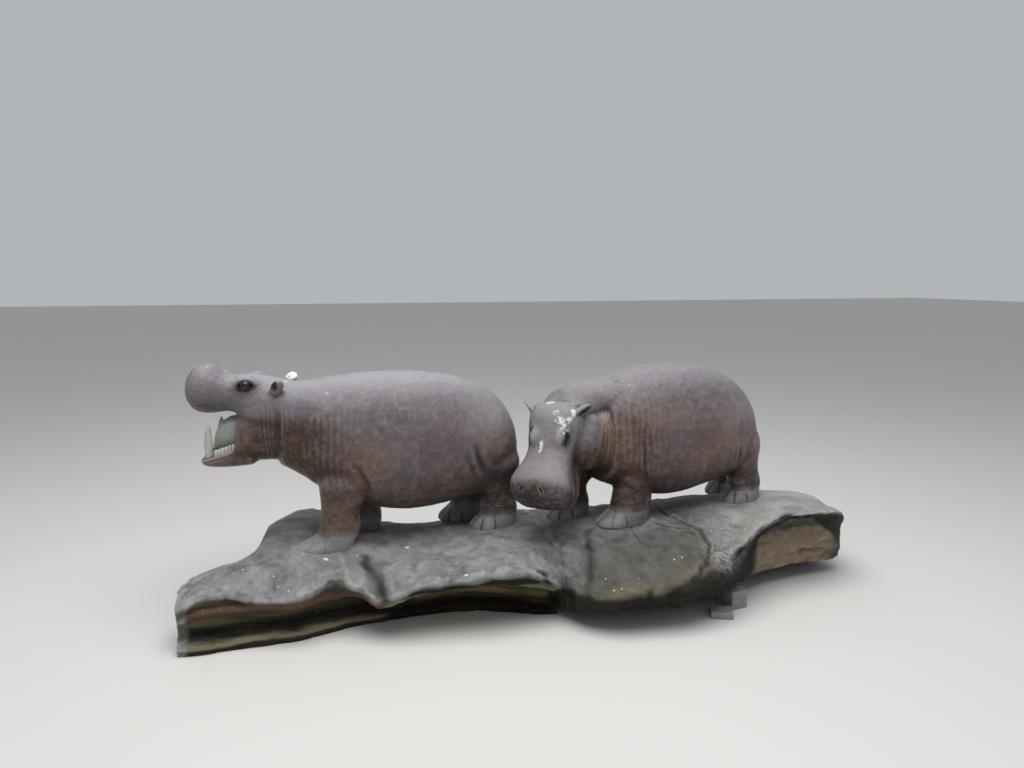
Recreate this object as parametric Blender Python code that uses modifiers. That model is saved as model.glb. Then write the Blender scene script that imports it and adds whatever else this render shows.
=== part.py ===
"""Group of two life-size pygmy hippopotamus figures in painted fibreglass on an artificial rock base.

Frame: +X runs along the rock towards the rear of both figures, +Y goes to the back of the rock, +Z is up.
Sizes are in metres. Each figure is described in its own frame: s forward from the rump, t to its left, z up.
"""

import math

import bmesh
import bpy
import numpy as np
from mathutils import Vector

# ---- driving dimensions ----
GAP = 0.0003  # clearance between touching pieces
ROCK_X = (-1.60, 1.65)  # ends of the rock base
BACK_A = 1.10  # height of figure A's back above the floor
BACK_B = 1.112
HEAD_LENGTH = 0.447  # nape to nose
MUZZLE_HALF_WIDTH = 0.135
EYE_RADIUS = 0.025
EYE_RADIUS_B = 0.022
VOXEL = 0.011  # grid on which the limbs are blended into the body
TRIANGLES_A = 2700
TRIANGLES_B = 2400

A_ORIGIN, A_YAW = (-0.035, 0.02), 5.0  # rump on the floor plan, and turn of the body towards -Y
B_ORIGIN, B_YAW = (1.212, -0.080), 8.0

# trunk stations: s from the rump, top, underside, half width
TRUNK_A = [
    (0.030, 0.772, 0.625, 0.088),
    (0.047, 0.861, 0.568, 0.160),
    (0.081, 0.926, 0.528, 0.205),
    (0.140, 0.990, 0.500, 0.245),
    (0.280, 1.056, 0.478, 0.272),
    (0.420, 1.086, 0.455, 0.286),
    (0.570, BACK_A, 0.446, 0.290),
    (0.720, 1.102, 0.470, 0.278),
    (0.860, 1.092, 0.520, 0.255),
    (0.970, 1.080, 0.590, 0.225),
    (1.060, 1.076, 0.660, 0.184),
    (1.140, 1.078, 0.705, 0.150),
]
TRUNK_B = [
    (0.042, 0.750, 0.615, 0.088),
    (0.057, 0.836, 0.573, 0.155),
    (0.087, 0.942, 0.538, 0.205),
    (0.149, 1.021, 0.522, 0.245),
    (0.250, 1.076, 0.500, 0.270),
    (0.370, 1.106, 0.475, 0.285),
    (0.500, BACK_B, 0.455, 0.290),
    (0.630, 1.104, 0.462, 0.284),
    (0.750, 1.088, 0.490, 0.264),
    (0.850, 1.056, 0.530, 0.238),
    (0.920, 1.010, 0.560, 0.208),
]

# head stations: x from the nape to the nose, underside, top, half width
SKULL = [
    (-0.060, -0.080, 0.140, 0.128),
    (0.000, -0.110, 0.156, 0.140),
    (0.080, -0.115, 0.172, 0.146),
    (0.150, -0.090, 0.186, 0.138),
    (0.210, -0.010, 0.186, 0.118),
    (0.255, 0.022, 0.180, 0.105),
    (0.285, 0.022, 0.190, 0.109),
    (0.320, 0.016, 0.212, 0.122),
    (0.360, 0.014, 0.230, MUZZLE_HALF_WIDTH),
    (0.400, 0.022, 0.220, 0.132),
    (0.428, 0.046, 0.190, 0.108),
    (HEAD_LENGTH, 0.085, 0.150, 0.062),
]
SKULL_B = [
    (0.010, -0.100, 0.140, 0.122),
    (0.045, -0.105, 0.176, 0.132),
    (0.090, -0.110, 0.196, 0.132),
    (0.150, -0.090, 0.192, 0.119),
    (0.200, -0.030, 0.184, 0.106),
    (0.245, 0.012, 0.178, 0.101),
    (0.285, 0.016, 0.184, 0.106),
    (0.330, 0.012, 0.206, 0.122),
    (0.380, 0.006, 0.222, 0.138),
    (0.425, 0.008, 0.214, 0.134),
    (0.458, 0.030, 0.184, 0.112),
    (0.480, 0.070, 0.146, 0.066),
]
CHEEK = [
    (-0.050, -0.175, 0.080, 0.118),
    (0.020, -0.190, 0.080, 0.140),
    (0.100, -0.196, 0.060, 0.150),
    (0.180, -0.202, 0.040, 0.146),
    (0.228, -0.216, 0.020, 0.132),
]
JAW_OPEN = [
    (0.150, -0.208, -0.120, 0.132),
    (0.230, -0.220, -0.122, 0.130),
    (0.285, -0.224, -0.142, 0.128),
    (0.335, -0.222, -0.160, 0.124),
    (0.370, -0.216, -0.172, 0.108),
    (0.392, -0.206, -0.182, 0.075),
]
CHEEK_SHUT = [
    (0.020, -0.160, 0.080, 0.140),
    (0.100, -0.172, 0.060, 0.150),
    (0.165, -0.160, 0.040, 0.143),
    (0.225, -0.126, 0.020, 0.116),
]
JAW_SHUT = [
    (0.100, -0.165, 0.020, 0.130),
    (0.180, -0.140, 0.030, 0.118),
    (0.260, -0.104, 0.040, 0.104),
    (0.330, -0.080, 0.050, 0.112),
    (0.385, -0.070, 0.060, 0.120),
    (0.432, -0.054, 0.060, 0.106),
    (0.454, -0.030, 0.050, 0.076),
]


# ---- helpers ----
def curve_through(table, count):
    """Rows of a table at evenly spread places along it, on a smooth curve through its rows."""
    rows = np.array(table, float)
    place = np.concatenate([[0], np.cumsum(np.linalg.norm(np.diff(rows[:, :3], axis=0), axis=1))])
    slope = np.gradient(rows, place, axis=0)
    out = []
    for at in np.linspace(0, place[-1], count):
        i = min(max(int(np.searchsorted(place, at, side="right")) - 1, 0), len(place) - 2)
        step = place[i + 1] - place[i]
        u = (at - place[i]) / step
        out.append(
            (2 * u**3 - 3 * u**2 + 1) * rows[i]
            + (u**3 - 2 * u**2 + u) * step * slope[i]
            + (3 * u**2 - 2 * u**3) * rows[i + 1]
            + (u**3 - u**2) * step * slope[i + 1]
        )
    return np.array(out)


def ellipse(turn, power):
    c, s = math.cos(turn), math.sin(turn)
    return math.copysign(abs(c) ** (2 / power), c), math.copysign(abs(s) ** (2 / power), s)


def mesh_object(name, points, faces):
    data = bpy.data.meshes.new(name)
    data.from_pydata([tuple(p) for p in points], [], faces)
    solid = bmesh.new()
    solid.from_mesh(data)
    bmesh.ops.recalc_face_normals(solid, faces=solid.faces)
    solid.to_mesh(data)
    solid.free()
    return bpy.data.objects.new(name, data)


def loft(name, rings):
    """A closed solid through rings with the same number of points."""
    count = len(rings[0])
    points = [p for ring in rings for p in ring]
    faces = [
        (i * count + k, i * count + (k + 1) % count, (i + 1) * count + (k + 1) % count, (i + 1) * count + k)
        for i in range(len(rings) - 1)
        for k in range(count)
    ]
    last = (len(rings) - 1) * count
    faces += [tuple(range(count - 1, -1, -1)), tuple(range(last, last + count))]
    return mesh_object(name, points, faces)


def frame_of(origin, yaw):
    """Maps (s, t, z) of a figure's frame into the group's frame."""
    c, s = math.cos(math.radians(yaw)), math.sin(math.radians(yaw))
    return lambda p: (origin[0] - c * p[0] + s * p[1], origin[1] - s * p[0] - c * p[1], p[2])


def head_frame(nape, turn, nod, roll, scale=1.0):
    """Maps head coordinates (x to the nose, y to its left, z up) into the group's frame."""
    a, b, r = (math.radians(v) for v in (turn, nod, roll))
    ahead = Vector((-math.cos(a) * math.cos(b), -math.sin(a) * math.cos(b), -math.sin(b)))
    left = Vector((math.sin(a), -math.cos(a), 0.0))
    up = ahead.cross(left)
    left, up = left * math.cos(r) - up * math.sin(r), up * math.cos(r) + left * math.sin(r)
    start = Vector(nape)
    return lambda p: tuple(start + (ahead * p[0] + left * p[1] + up * p[2]) * scale)


def body_loft(name, table, place, power=2.25, rings=22, around=28, column=None):
    """A loft along the first coordinate: each row has place, underside or top, and half width."""
    made = []
    for x, low, high, half in curve_through(table, rings):
        if low > high:
            low, high = high, low
        middle, rise = (low + high) / 2, (high - low) / 2
        ring = []
        for k in range(around):
            c, s = ellipse(2 * math.pi * k / around, power)
            ring.append(place((x, half * c + (column(x) if column else 0.0), middle + rise * s)))
        made.append(ring)
    return loft(name, made)


def post_loft(name, rows, place, power=2.3, rings=16, around=20):
    """A loft up a limb: each row has s, t, z, half length and half width."""
    made = []
    for s0, t0, z0, half_long, half_wide in curve_through(rows, rings):
        ring = []
        for k in range(around):
            c, s = ellipse(2 * math.pi * k / around, power)
            ring.append(place((s0 + half_long * c, t0 + half_wide * s, z0)))
        made.append(ring)
    return loft(name, made)


def ball(name, centre, radii, segments=18, rings=10):
    data = bpy.data.meshes.new(name)
    solid = bmesh.new()
    bmesh.ops.create_uvsphere(solid, u_segments=segments, v_segments=rings, radius=1.0)
    for v in solid.verts:
        v.co = Vector((v.co[i] * radii[i] + centre[i] for i in range(3)))
    solid.to_mesh(data)
    solid.free()
    return bpy.data.objects.new(name, data)


def moved(obj, place):
    for v in obj.data.vertices:
        v.co = Vector(place(v.co))
    solid = bmesh.new()
    solid.from_mesh(obj.data)
    bmesh.ops.recalc_face_normals(solid, faces=solid.faces)
    solid.to_mesh(obj.data)
    solid.free()
    return obj


def evaluated(obj):
    """Replaces an object's mesh by what its modifiers make of it."""
    bpy.context.view_layer.update()
    graph = bpy.context.evaluated_depsgraph_get()
    data = bpy.data.meshes.new_from_object(obj.evaluated_get(graph), depsgraph=graph)
    obj.modifiers.clear()
    obj.data = data
    return obj


def boolean(obj, other, operation):
    step = obj.modifiers.new(operation, "BOOLEAN")
    step.operation, step.solver, step.object = operation, "EXACT", other
    return evaluated(obj)


def copy_of(obj, name, grown=0.0):
    new = bpy.data.objects.new(name, obj.data.copy())
    if grown:
        normals = [v.normal.copy() for v in new.data.vertices]
        for v, n in zip(new.data.vertices, normals):
            v.co += n * grown
    cutters.objects.link(new)
    return new


def joined(name, solids):
    """One mesh that holds all these solids."""
    whole = bmesh.new()
    for part in solids:
        whole.from_mesh(part.data)
    data = bpy.data.meshes.new(name)
    whole.to_mesh(data)
    whole.free()
    return bpy.data.objects.new(name, data)


def blended(name, solids, triangles):
    """Melts overlapping solids into one smooth skin with about this many triangles."""
    obj = joined(name, solids)
    work.objects.link(obj)
    grid = obj.modifiers.new("grid", "REMESH")
    grid.mode, grid.voxel_size = "VOXEL", VOXEL
    soft = obj.modifiers.new("soft", "SMOOTH")
    soft.factor, soft.iterations = 0.5, 7
    evaluated(obj)
    count = sum(len(f.vertices) - 2 for f in obj.data.polygons)
    fewer = obj.modifiers.new("fewer", "DECIMATE")
    fewer.ratio = triangles / count
    fewer.use_collapse_triangulate = True
    return evaluated(obj)


def block(name, corners):
    """A six-faced cutter from four lower corners and the four above them."""
    faces = [(3, 2, 1, 0), (4, 5, 6, 7), (0, 1, 5, 4), (1, 2, 6, 5), (2, 3, 7, 6), (3, 0, 4, 7)]
    obj = mesh_object(name, corners, faces)
    cutters.objects.link(obj)
    return obj


def slab(name, place, x, y, z, more=0.0):
    """A cutter over these ranges of a figure's frame."""
    (x0, x1), (y0, y1), (z0, z1) = ((v[0] - more, v[1] + more) for v in (x, y, z))
    return block(name, [place((px, py, pz)) for pz in (z0, z1) for px, py in ((x0, y0), (x1, y0), (x1, y1), (x0, y1))])


def split(body, name, cutter, gapped):
    """Takes what lies in the cutter out of the body as a piece of its own."""
    piece = copy_of(body, name)
    boolean(piece, cutter, "INTERSECT")
    boolean(body, gapped, "DIFFERENCE")
    return piece


def material(name, colour, roughness, metallic=0.0):
    made = bpy.data.materials.new(name)
    made.use_nodes = True
    shader = made.node_tree.nodes["Principled BSDF"]
    shader.inputs["Base Color"].default_value = (*colour, 1.0)
    shader.inputs["Roughness"].default_value = roughness
    shader.inputs["Metallic"].default_value = metallic
    made.diffuse_color = (*colour, 1.0)
    return made


def finish(obj, name, look, smooth=True):
    for collection in list(obj.users_collection):
        collection.objects.unlink(obj)
    obj.name = name
    obj.data.name = name
    solid = bmesh.new()
    solid.from_mesh(obj.data)
    bmesh.ops.remove_doubles(solid, verts=solid.verts, dist=0.00002)
    bmesh.ops.dissolve_degenerate(solid, dist=0.00002, edges=solid.edges)
    bmesh.ops.triangulate(solid, faces=[f for f in solid.faces if len(f.verts) > 3])
    bmesh.ops.recalc_face_normals(solid, faces=solid.faces)
    solid.to_mesh(obj.data)
    solid.free()
    obj.data.materials.clear()
    obj.data.materials.append(material("mat_" + name, *look))
    if smooth:
        obj.data.shade_smooth()
        obj.data.set_sharp_from_angle(angle=math.radians(38))
    group.objects.link(obj)
    return obj


# ---- a fresh scene ----
for old in list(bpy.data.objects):
    bpy.data.objects.remove(old)
group = bpy.data.collections.new("hippo_statue_group")
work = bpy.data.collections.new("work")
cutters = bpy.data.collections.new("cutters")
for collection in (group, work, cutters):
    bpy.context.scene.collection.children.link(collection)

BODY = ((0.135, 0.098, 0.092), 0.42)
EYE = ((0.012, 0.009, 0.008), 0.12)
IVORY = ((0.52, 0.46, 0.36), 0.40)
FLESH = ((0.42, 0.36, 0.32), 0.45)
ROCK = ((0.24, 0.235, 0.225), 0.80)
BLOCK = ((0.30, 0.30, 0.28), 0.88)

# ---- figure A: walking, head raised level, mouth wide open ----
at_a = frame_of(A_ORIGIN, A_YAW)
A_NAPE = at_a((1.075, 0.0, 0.922))
head_a = head_frame(A_NAPE, -12.0, -1.0, 0.0)


def limb(name, place, side, foot, shin, upper, floor, foot_half=(0.118, 0.082), shin_half=(0.084, 0.074), upper_half=(0.135, 0.085), upper_t=0.155, flat=0.35):
    """A leg from a broad foot to the part that sinks into the body. With flat at 1 the foot slopes like a slipper."""
    t = side * 0.128
    return post_loft(
        name,
        [
            (foot, t, floor - 0.004, foot_half[0], foot_half[1]),
            (foot - 0.002 - 0.012 * flat, t, floor + 0.030 - 0.008 * flat, foot_half[0] + 0.004 - 0.010 * flat, foot_half[1] + 0.004 - 0.002 * flat),
            (foot - 0.014 - 0.034 * flat, t, floor + 0.062 - 0.010 * flat, foot_half[0] - 0.010 - 0.016 * flat, foot_half[1] - 0.004),
            ((foot + shin) / 2 - 0.010 - 0.020 * flat, t, floor + 0.095, shin_half[0] + 0.008, shin_half[1]),
            (shin, t, floor + 0.150, shin_half[0], shin_half[1]),
            ((shin + upper) / 2, side * 0.138, floor + 0.230, (shin_half[0] + upper_half[0]) / 2, 0.080),
            (upper, side * upper_t, floor + 0.330, upper_half[0], upper_half[1]),
            (upper, side * (upper_t - 0.03), floor + 0.450, upper_half[0] * 0.62, upper_half[1] * 0.6),
        ],
        place,
    )


FLOOR_A = {"front_left": 0.335, "front_right": 0.322, "rear_left": 0.345, "rear_right": 0.325}
legs_a = {
    "front_left": limb("afl", at_a, 1, 0.958, 0.895, 0.850, FLOOR_A["front_left"], foot_half=(0.120, 0.082), flat=1.0),
    "front_right": limb("afr", at_a, -1, 0.775, 0.765, 0.800, FLOOR_A["front_right"], foot_half=(0.110, 0.080)),
    "rear_left": limb("arl", at_a, 1, 0.158, 0.132, 0.184, FLOOR_A["rear_left"], foot_half=(0.104, 0.078), shin_half=(0.080, 0.072), upper_half=(0.143, 0.088), upper_t=0.165),
    "rear_right": limb("arr", at_a, -1, 0.245, 0.205, 0.200, FLOOR_A["rear_right"], foot_half=(0.104, 0.078), shin_half=(0.080, 0.072), upper_half=(0.150, 0.088), upper_t=0.165),
}

trunk_a = body_loft("trunk", TRUNK_A, at_a, 2.3, 26, 30)
skull_a = body_loft("skull", SKULL, head_a, 2.35, 26, 28)
cheek_a = body_loft("cheek", CHEEK, head_a, 2.5, 10, 28)
jaw_a = body_loft("jaw", JAW_OPEN, head_a, 3.0, 12, 28)


EYE_A, EYE_B = (0.174, 0.112, 0.150), (0.184, 0.071, 0.160)  # eye places in head coordinates
EAR_A, EAR_B = (0.046, 0.134, 0.136), (0.066, 0.114, 0.152)


def brow_bulges(place, at, tag, radii=(0.054, 0.034, 0.038)):
    """Raised rims round the eyes."""
    return [moved(ball(tag + "brow", (at[0], side * (at[1] - 0.016), at[2]), radii), place) for side in (1, -1)]


body_a = blended("body_a", [trunk_a, skull_a, cheek_a, jaw_a, *brow_bulges(head_a, EYE_A, "a"), *legs_a.values()], TRIANGLES_A)

# the inside of the mouth, open at the front and closed by the cheeks
mouth = body_loft(
    "mouth",
    [(0.120, -0.100, 0.000, 0.060), (0.180, -0.128, 0.010, 0.092), (0.250, -0.132, 0.026, 0.100), (0.300, -0.146, 0.026, 0.098), (0.345, -0.158, 0.010, 0.090), (0.375, -0.150, -0.020, 0.080)],
    head_a,
    3.0,
    7,
    16,
)
cutters.objects.link(mouth)
boolean(body_a, mouth, "DIFFERENCE")

# limbs, then neck, head and jaw, parted by thin cuts
LEG_CUTS_A = {
    "front_left": ((0.735, 1.160), (0.034, 0.400), (0.250, 0.640)),
    "front_right": ((0.640, 0.960), (-0.400, -0.034), (0.250, 0.620)),
    "rear_left": ((-0.080, 0.300), (0.034, 0.400), (0.250, 0.660)),
    "rear_right": ((-0.080, 0.370), (-0.400, -0.034), (0.250, 0.660)),
}
pieces_a = {}
for key, (xs, ys, zs) in LEG_CUTS_A.items():
    inner = slab("cut_" + key, at_a, xs, ys, zs)
    outer = slab("cut_gap_" + key, at_a, xs, ys, zs, GAP)
    pieces_a["leg_" + key] = split(body_a, "leg_" + key, inner, outer)

HEAD_CUT, NECK_CUT, JAW_CUT = 0.005, 0.985, 0.215
head_box = slab("cut_head", head_a, (HEAD_CUT, 0.6), (-0.4, 0.4001), (-0.4, 0.4))
head_box_gap = slab("cut_head_gap", head_a, (HEAD_CUT, 0.6), (-0.4, 0.4001), (-0.4, 0.4), GAP)
pieces_a["head"] = split(body_a, "head", head_box, head_box_gap)
neck_box = slab("cut_neck", at_a, (NECK_CUT, 1.4), (-0.4, 0.4001), (0.40, 1.3))
neck_box_gap = slab("cut_neck_gap", at_a, (NECK_CUT, 1.4), (-0.4, 0.4001), (0.40, 1.3), GAP)
pieces_a["neck"] = split(body_a, "neck", neck_box, neck_box_gap)
jaw_box = block("cut_jaw", [head_a(p) for p in [(JAW_CUT - 0.10, -0.3, -0.4), (0.6, -0.3, -0.4), (0.6, 0.3, -0.4), (JAW_CUT - 0.10, 0.3, -0.4), (JAW_CUT, -0.3, -0.100), (0.6, -0.3, -0.100), (0.6, 0.3, -0.100), (JAW_CUT, 0.3, -0.100)]])
jaw_box_gap = block("cut_jaw_gap", [head_a(p) for p in [(JAW_CUT - 0.10 - GAP, -0.3, -0.4), (0.6, -0.3, -0.4), (0.6, 0.3, -0.4), (JAW_CUT - 0.10 - GAP, 0.3, -0.4), (JAW_CUT - GAP, -0.3, -0.100 + GAP), (0.6, -0.3, -0.100 + GAP), (0.6, 0.3, -0.100 + GAP), (JAW_CUT - GAP, 0.3, -0.100 + GAP)]])
pieces_a["lower_jaw"] = split(pieces_a["head"], "lower_jaw", jaw_box, jaw_box_gap)
pieces_a["trunk"] = body_a

# eyes, ears, tusks, tongue and tail
def eye(place, at, side, name, grown=0.0, radius=EYE_RADIUS):
    made = moved(ball(name, (at[0], side * at[1], at[2]), tuple(radius + grown for _ in range(3)), 16, 9), place)
    cutters.objects.link(made)
    return made


def ear(place, at, side, name):
    """A short rounded ear: a cupped leaf on a thick stalk, turned back and out."""
    rows = [(0.0, 0.024, 0.020), (0.022, 0.026, 0.020), (0.044, 0.031, 0.018), (0.062, 0.028, 0.014), (0.075, 0.019, 0.009), (0.081, 0.008, 0.004)]
    rings = []
    for up, long, thick in rows:
        ring = []
        for k in range(14):
            c, s = ellipse(2 * math.pi * k / 14, 2.0)
            ring.append(place((at[0] - 0.25 * up + long * c, side * (at[1] - 0.022 + 0.55 * up + thick * s - 6 * (long * c) ** 2), at[2] - 0.022 + 0.80 * up)))
        rings.append(ring)
    made = loft(name, rings)
    cutters.objects.link(made)
    return made


for side, word in ((1, "left"), (-1, "right")):
    socket = eye(head_a, EYE_A, side, "socket_" + word, GAP * 1.6)
    boolean(pieces_a["head"], socket, "DIFFERENCE")
    pieces_a["eye_" + word] = eye(head_a, EYE_A, side, "eye_" + word)
    flap = ear(head_a, EAR_A, side, "ear_" + word)
    boolean(flap, copy_of(pieces_a["head"], "head_grown_" + word, GAP * 1.5), "DIFFERENCE")
    pieces_a["ear_" + word] = flap

# lower tusks stand in the front corners of the jaw
for side, word in ((1, "left"), (-1, "right")):
    for grown, name in ((GAP * 1.5, "tusk_hole_"), (0.0, "tusk_")):
        rings = []
        for up, radius in ((0.0, 0.015), (0.04, 0.0175), (0.08, 0.0168), (0.12, 0.014), (0.148, 0.009), (0.164, 0.003)):
            rings.append([head_a((0.345 + 0.08 * up - 0.6 * up * up + (radius + grown) * math.cos(k * math.pi / 4), side * (0.082 + 0.08 * up + (radius + grown) * math.sin(k * math.pi / 4)), -0.186 - grown + up)) for k in range(8)])
        made = loft(name + word, rings)
        cutters.objects.link(made)
        if grown:
            boolean(pieces_a["lower_jaw"], made, "DIFFERENCE")
        else:
            pieces_a["tusk_" + word] = made

tongue = body_loft(
    "tongue",
    [(0.165, -0.140, -0.032, 0.045), (0.195, -0.150, -0.006, 0.058), (0.235, -0.152, 0.003, 0.062), (0.275, -0.156, -0.004, 0.060), (0.308, -0.160, -0.024, 0.054), (0.332, -0.162, -0.064, 0.042), (0.345, -0.162, -0.112, 0.028)],
    head_a,
    2.4,
    8,
    14,
)
cutters.objects.link(tongue)
boolean(tongue, copy_of(pieces_a["lower_jaw"], "jaw_grown", GAP * 1.5), "DIFFERENCE")
boolean(tongue, copy_of(pieces_a["head"], "head_grown_t", GAP * 1.5), "DIFFERENCE")
pieces_a["tongue"] = tongue

tail_rows = [(0.082, 0.0, 0.850, 0.030, 0.026), (0.046, 0.0, 0.832, 0.028, 0.026), (0.028, 0.0, 0.795, 0.021, 0.023), (0.020, 0.0, 0.755, 0.016, 0.020), (0.017, 0.0, 0.715, 0.011, 0.016), (0.018, 0.0, 0.688, 0.006, 0.009)]
tail = post_loft("tail", tail_rows, at_a, 2.0, 10, 12)
cutters.objects.link(tail)
boolean(tail, copy_of(pieces_a["trunk"], "trunk_grown", GAP * 1.5), "DIFFERENCE")
pieces_a["tail"] = tail

# ---- figure B: standing, head low and turned to -Y, mouth shut ----
at_b = frame_of(B_ORIGIN, B_YAW)
B_NAPE = (0.168, -0.185, 0.903)
head_b = head_frame(B_NAPE, 51.0, 60.0, -1.0, 1.07)
FLOOR_B = {"front_left": 0.372, "front_right": 0.346, "rear_left": 0.395, "rear_right": 0.365}
legs_b = {
    "front_left": limb("bfl", at_b, 1, 0.825, 0.773, 0.735, FLOOR_B["front_left"], foot_half=(0.125, 0.082), shin_half=(0.096, 0.078), flat=0.6),
    "front_right": limb("bfr", at_b, -1, 0.985, 0.968, 0.850, FLOOR_B["front_right"], foot_half=(0.100, 0.078), shin_half=(0.072, 0.070), upper_half=(0.120, 0.08)),
    "rear_left": limb("brl", at_b, 1, 0.113, 0.100, 0.172, FLOOR_B["rear_left"], foot_half=(0.096, 0.078), shin_half=(0.080, 0.072), upper_half=(0.122, 0.088), upper_t=0.160),
    "rear_right": limb("brr", at_b, -1, 0.000, 0.040, 0.172, FLOOR_B["rear_right"], foot_half=(0.096, 0.078), shin_half=(0.078, 0.072), upper_half=(0.122, 0.088), upper_t=0.150),
}
trunk_b = body_loft("trunk", TRUNK_B, at_b, 2.3, 24, 30)
skull_b = body_loft("skull", SKULL_B, head_b, 2.35, 26, 28)
cheek_b = body_loft("cheek", CHEEK_SHUT, head_b, 2.5, 10, 28)
jaw_b = body_loft("jaw", JAW_SHUT, head_b, 2.4, 12, 24)


def neck_of_b():
    """The neck bends from the chest round to the lowered head."""
    start, end = Vector(at_b((0.675, 0.0, 0.785))), Vector(head_b((0.050, 0.0, -0.025)))
    first, last = Vector(at_b((1.0, 0, 0))) - Vector(at_b((0.0, 0, 0))), Vector(head_b((1, 0, 0))) - Vector(head_b((0, 0, 0)))
    rings = []
    for i in range(13):
        u = i / 12
        centre = start.lerp(end, u) + (first * (1 - u) - last * u) * u * (1 - u) * 0.34 - Vector((0, 0, 0.03)) * u * (1 - u)
        along = (first * (1 - u) + last * u).normalized()
        side = Vector((0, 0, 1)).cross(along).normalized()
        up = along.cross(side)
        wide, tall = 0.264 * (1 - u) + 0.152 * u, 0.290 * (1 - u) + 0.164 * u
        ring = []
        for k in range(26):
            c, s = ellipse(2 * math.pi * k / 26, 2.2)
            ring.append(tuple(centre + side * wide * c + up * tall * s))
        rings.append(ring)
    return loft("neck", rings)


# the thick skin of the near side and the nape, gathered by the turned head
gathered_b = [ball("gathered", (0.225, -0.290, 0.775), (0.145, 0.115, 0.145)), ball("gathered", (0.345, -0.296, 0.782), (0.150, 0.118, 0.160)), ball("gathered", (0.220, -0.205, 0.912), (0.140, 0.130, 0.120))]
tail_b = post_loft("tail", [(s + 0.062, t, z - 0.050, *rest) for s, t, z, *rest in tail_rows], at_b, 2.0, 10, 12)
body_b = blended("body_b", [trunk_b, neck_of_b(), *gathered_b, skull_b, cheek_b, jaw_b, *brow_bulges(head_b, EYE_B, "b", (0.050, 0.027, 0.031)), *legs_b.values(), tail_b], TRIANGLES_B)


def ear_held_out(place, at, side, name):
    """An ear like the others that stands out sideways and a little back, with its hollow toward the snout."""
    rows = [(-0.020, 0.020, 0.014), (0.0, 0.024, 0.015), (0.022, 0.027, 0.014), (0.044, 0.029, 0.013), (0.062, 0.026, 0.011), (0.075, 0.017, 0.008), (0.081, 0.008, 0.004)]
    along, broad, open_way = (-0.639, 0.748, -0.171), (0.171, -0.078, -0.982), (0.751, 0.657, 0.079)
    rings = []
    for up, long, thick in rows:
        ring = []
        for k in range(14):
            c, s = ellipse(2 * math.pi * k / 14, 2.0)
            x, y, z = (a * up + b * long * c + o * (thick * s + 6 * (long * c) ** 2) for a, b, o in zip(along, broad, open_way))
            ring.append(place((at[0] + x, side * (at[1] - 0.022 + y), at[2] - 0.018 + z)))
        rings.append(ring)
    made = loft(name, rings)
    cutters.objects.link(made)
    return made


for side, word in ((1, "left"), (-1, "right")):
    boolean(body_b, ear_held_out(head_b, EAR_B, side, "ear_b_" + word), "UNION")
    boolean(body_b, eye(head_b, EYE_B, side, "eye_b_" + word, 0.0, EYE_RADIUS_B), "UNION")


# ---- rock base ----
# left section stations: x, ledge y, ledge z, base front y, back edge y, back z, crown z
LEFT = [
    (ROCK_X[0], -0.400, 0.190, -0.415, -0.330, 0.200, 0.222),
    (-1.545, -0.405, 0.222, -0.425, -0.200, 0.222, 0.254),
    (-1.400, -0.385, 0.238, -0.415, -0.080, 0.238, 0.288),
    (-1.300, -0.408, 0.214, -0.412, 0.030, 0.272, 0.322),
    (-1.230, -0.425, 0.206, -0.410, 0.240, 0.312, 0.350),
    (-1.110, -0.474, 0.222, -0.400, 0.345, 0.350, 0.362),
    (-0.960, -0.412, 0.258, -0.365, 0.360, 0.342, 0.350),
    (-0.860, -0.470, 0.232, -0.335, 0.352, 0.300, 0.340),
    (-0.790, -0.535, 0.200, -0.320, 0.345, 0.272, 0.334),
    (-0.640, -0.560, 0.252, -0.308, 0.325, 0.258, 0.332),
    (-0.440, -0.592, 0.272, -0.303, 0.300, 0.256, 0.337),
    (-0.280, -0.604, 0.282, -0.330, 0.290, 0.262, 0.344),
    (-0.140, -0.600, 0.272, -0.400, 0.280, 0.270, 0.352),
    (-0.020, -0.585, 0.215, -0.455, 0.270, 0.280, 0.356),
    (0.060, -0.540, 0.120, -0.468, 0.262, 0.285, 0.350),
]
# right section stations: x, bulge y, bulge z, lower edge y, lower edge z, back y, back z, crown z
RIGHT = [
    (0.030, -0.560, 0.160, -0.500, 0.040, 0.262, 0.285, 0.350),
    (0.090, -0.700, 0.170, -0.590, 0.055, 0.250, 0.287, 0.352),
    (0.180, -0.760, 0.180, -0.640, 0.075, 0.235, 0.290, 0.362),
    (0.300, -0.785, 0.188, -0.655, 0.084, 0.215, 0.292, 0.370),
    (0.450, -0.800, 0.195, -0.665, 0.080, 0.195, 0.292, 0.374),
    (0.600, -0.795, 0.205, -0.660, 0.076, 0.180, 0.300, 0.380),
    (0.720, -0.765, 0.240, -0.640, 0.074, 0.168, 0.310, 0.386),
    (0.820, -0.725, 0.290, -0.600, 0.076, 0.155, 0.318, 0.392),
    (0.950, -0.650, 0.335, -0.540, 0.090, 0.140, 0.325, 0.396),
    (1.080, -0.590, 0.375, -0.480, 0.095, 0.125, 0.330, 0.400),
    (1.210, -0.560, 0.392, -0.440, 0.095, 0.105, 0.332, 0.402),
    (1.380, -0.545, 0.390, -0.420, 0.090, 0.070, 0.330, 0.400),
    (1.540, -0.480, 0.360, -0.400, 0.080, 0.010, 0.310, 0.380),
    (ROCK_X[1], -0.370, 0.280, -0.350, 0.070, -0.090, 0.260, 0.300),
]


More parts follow.
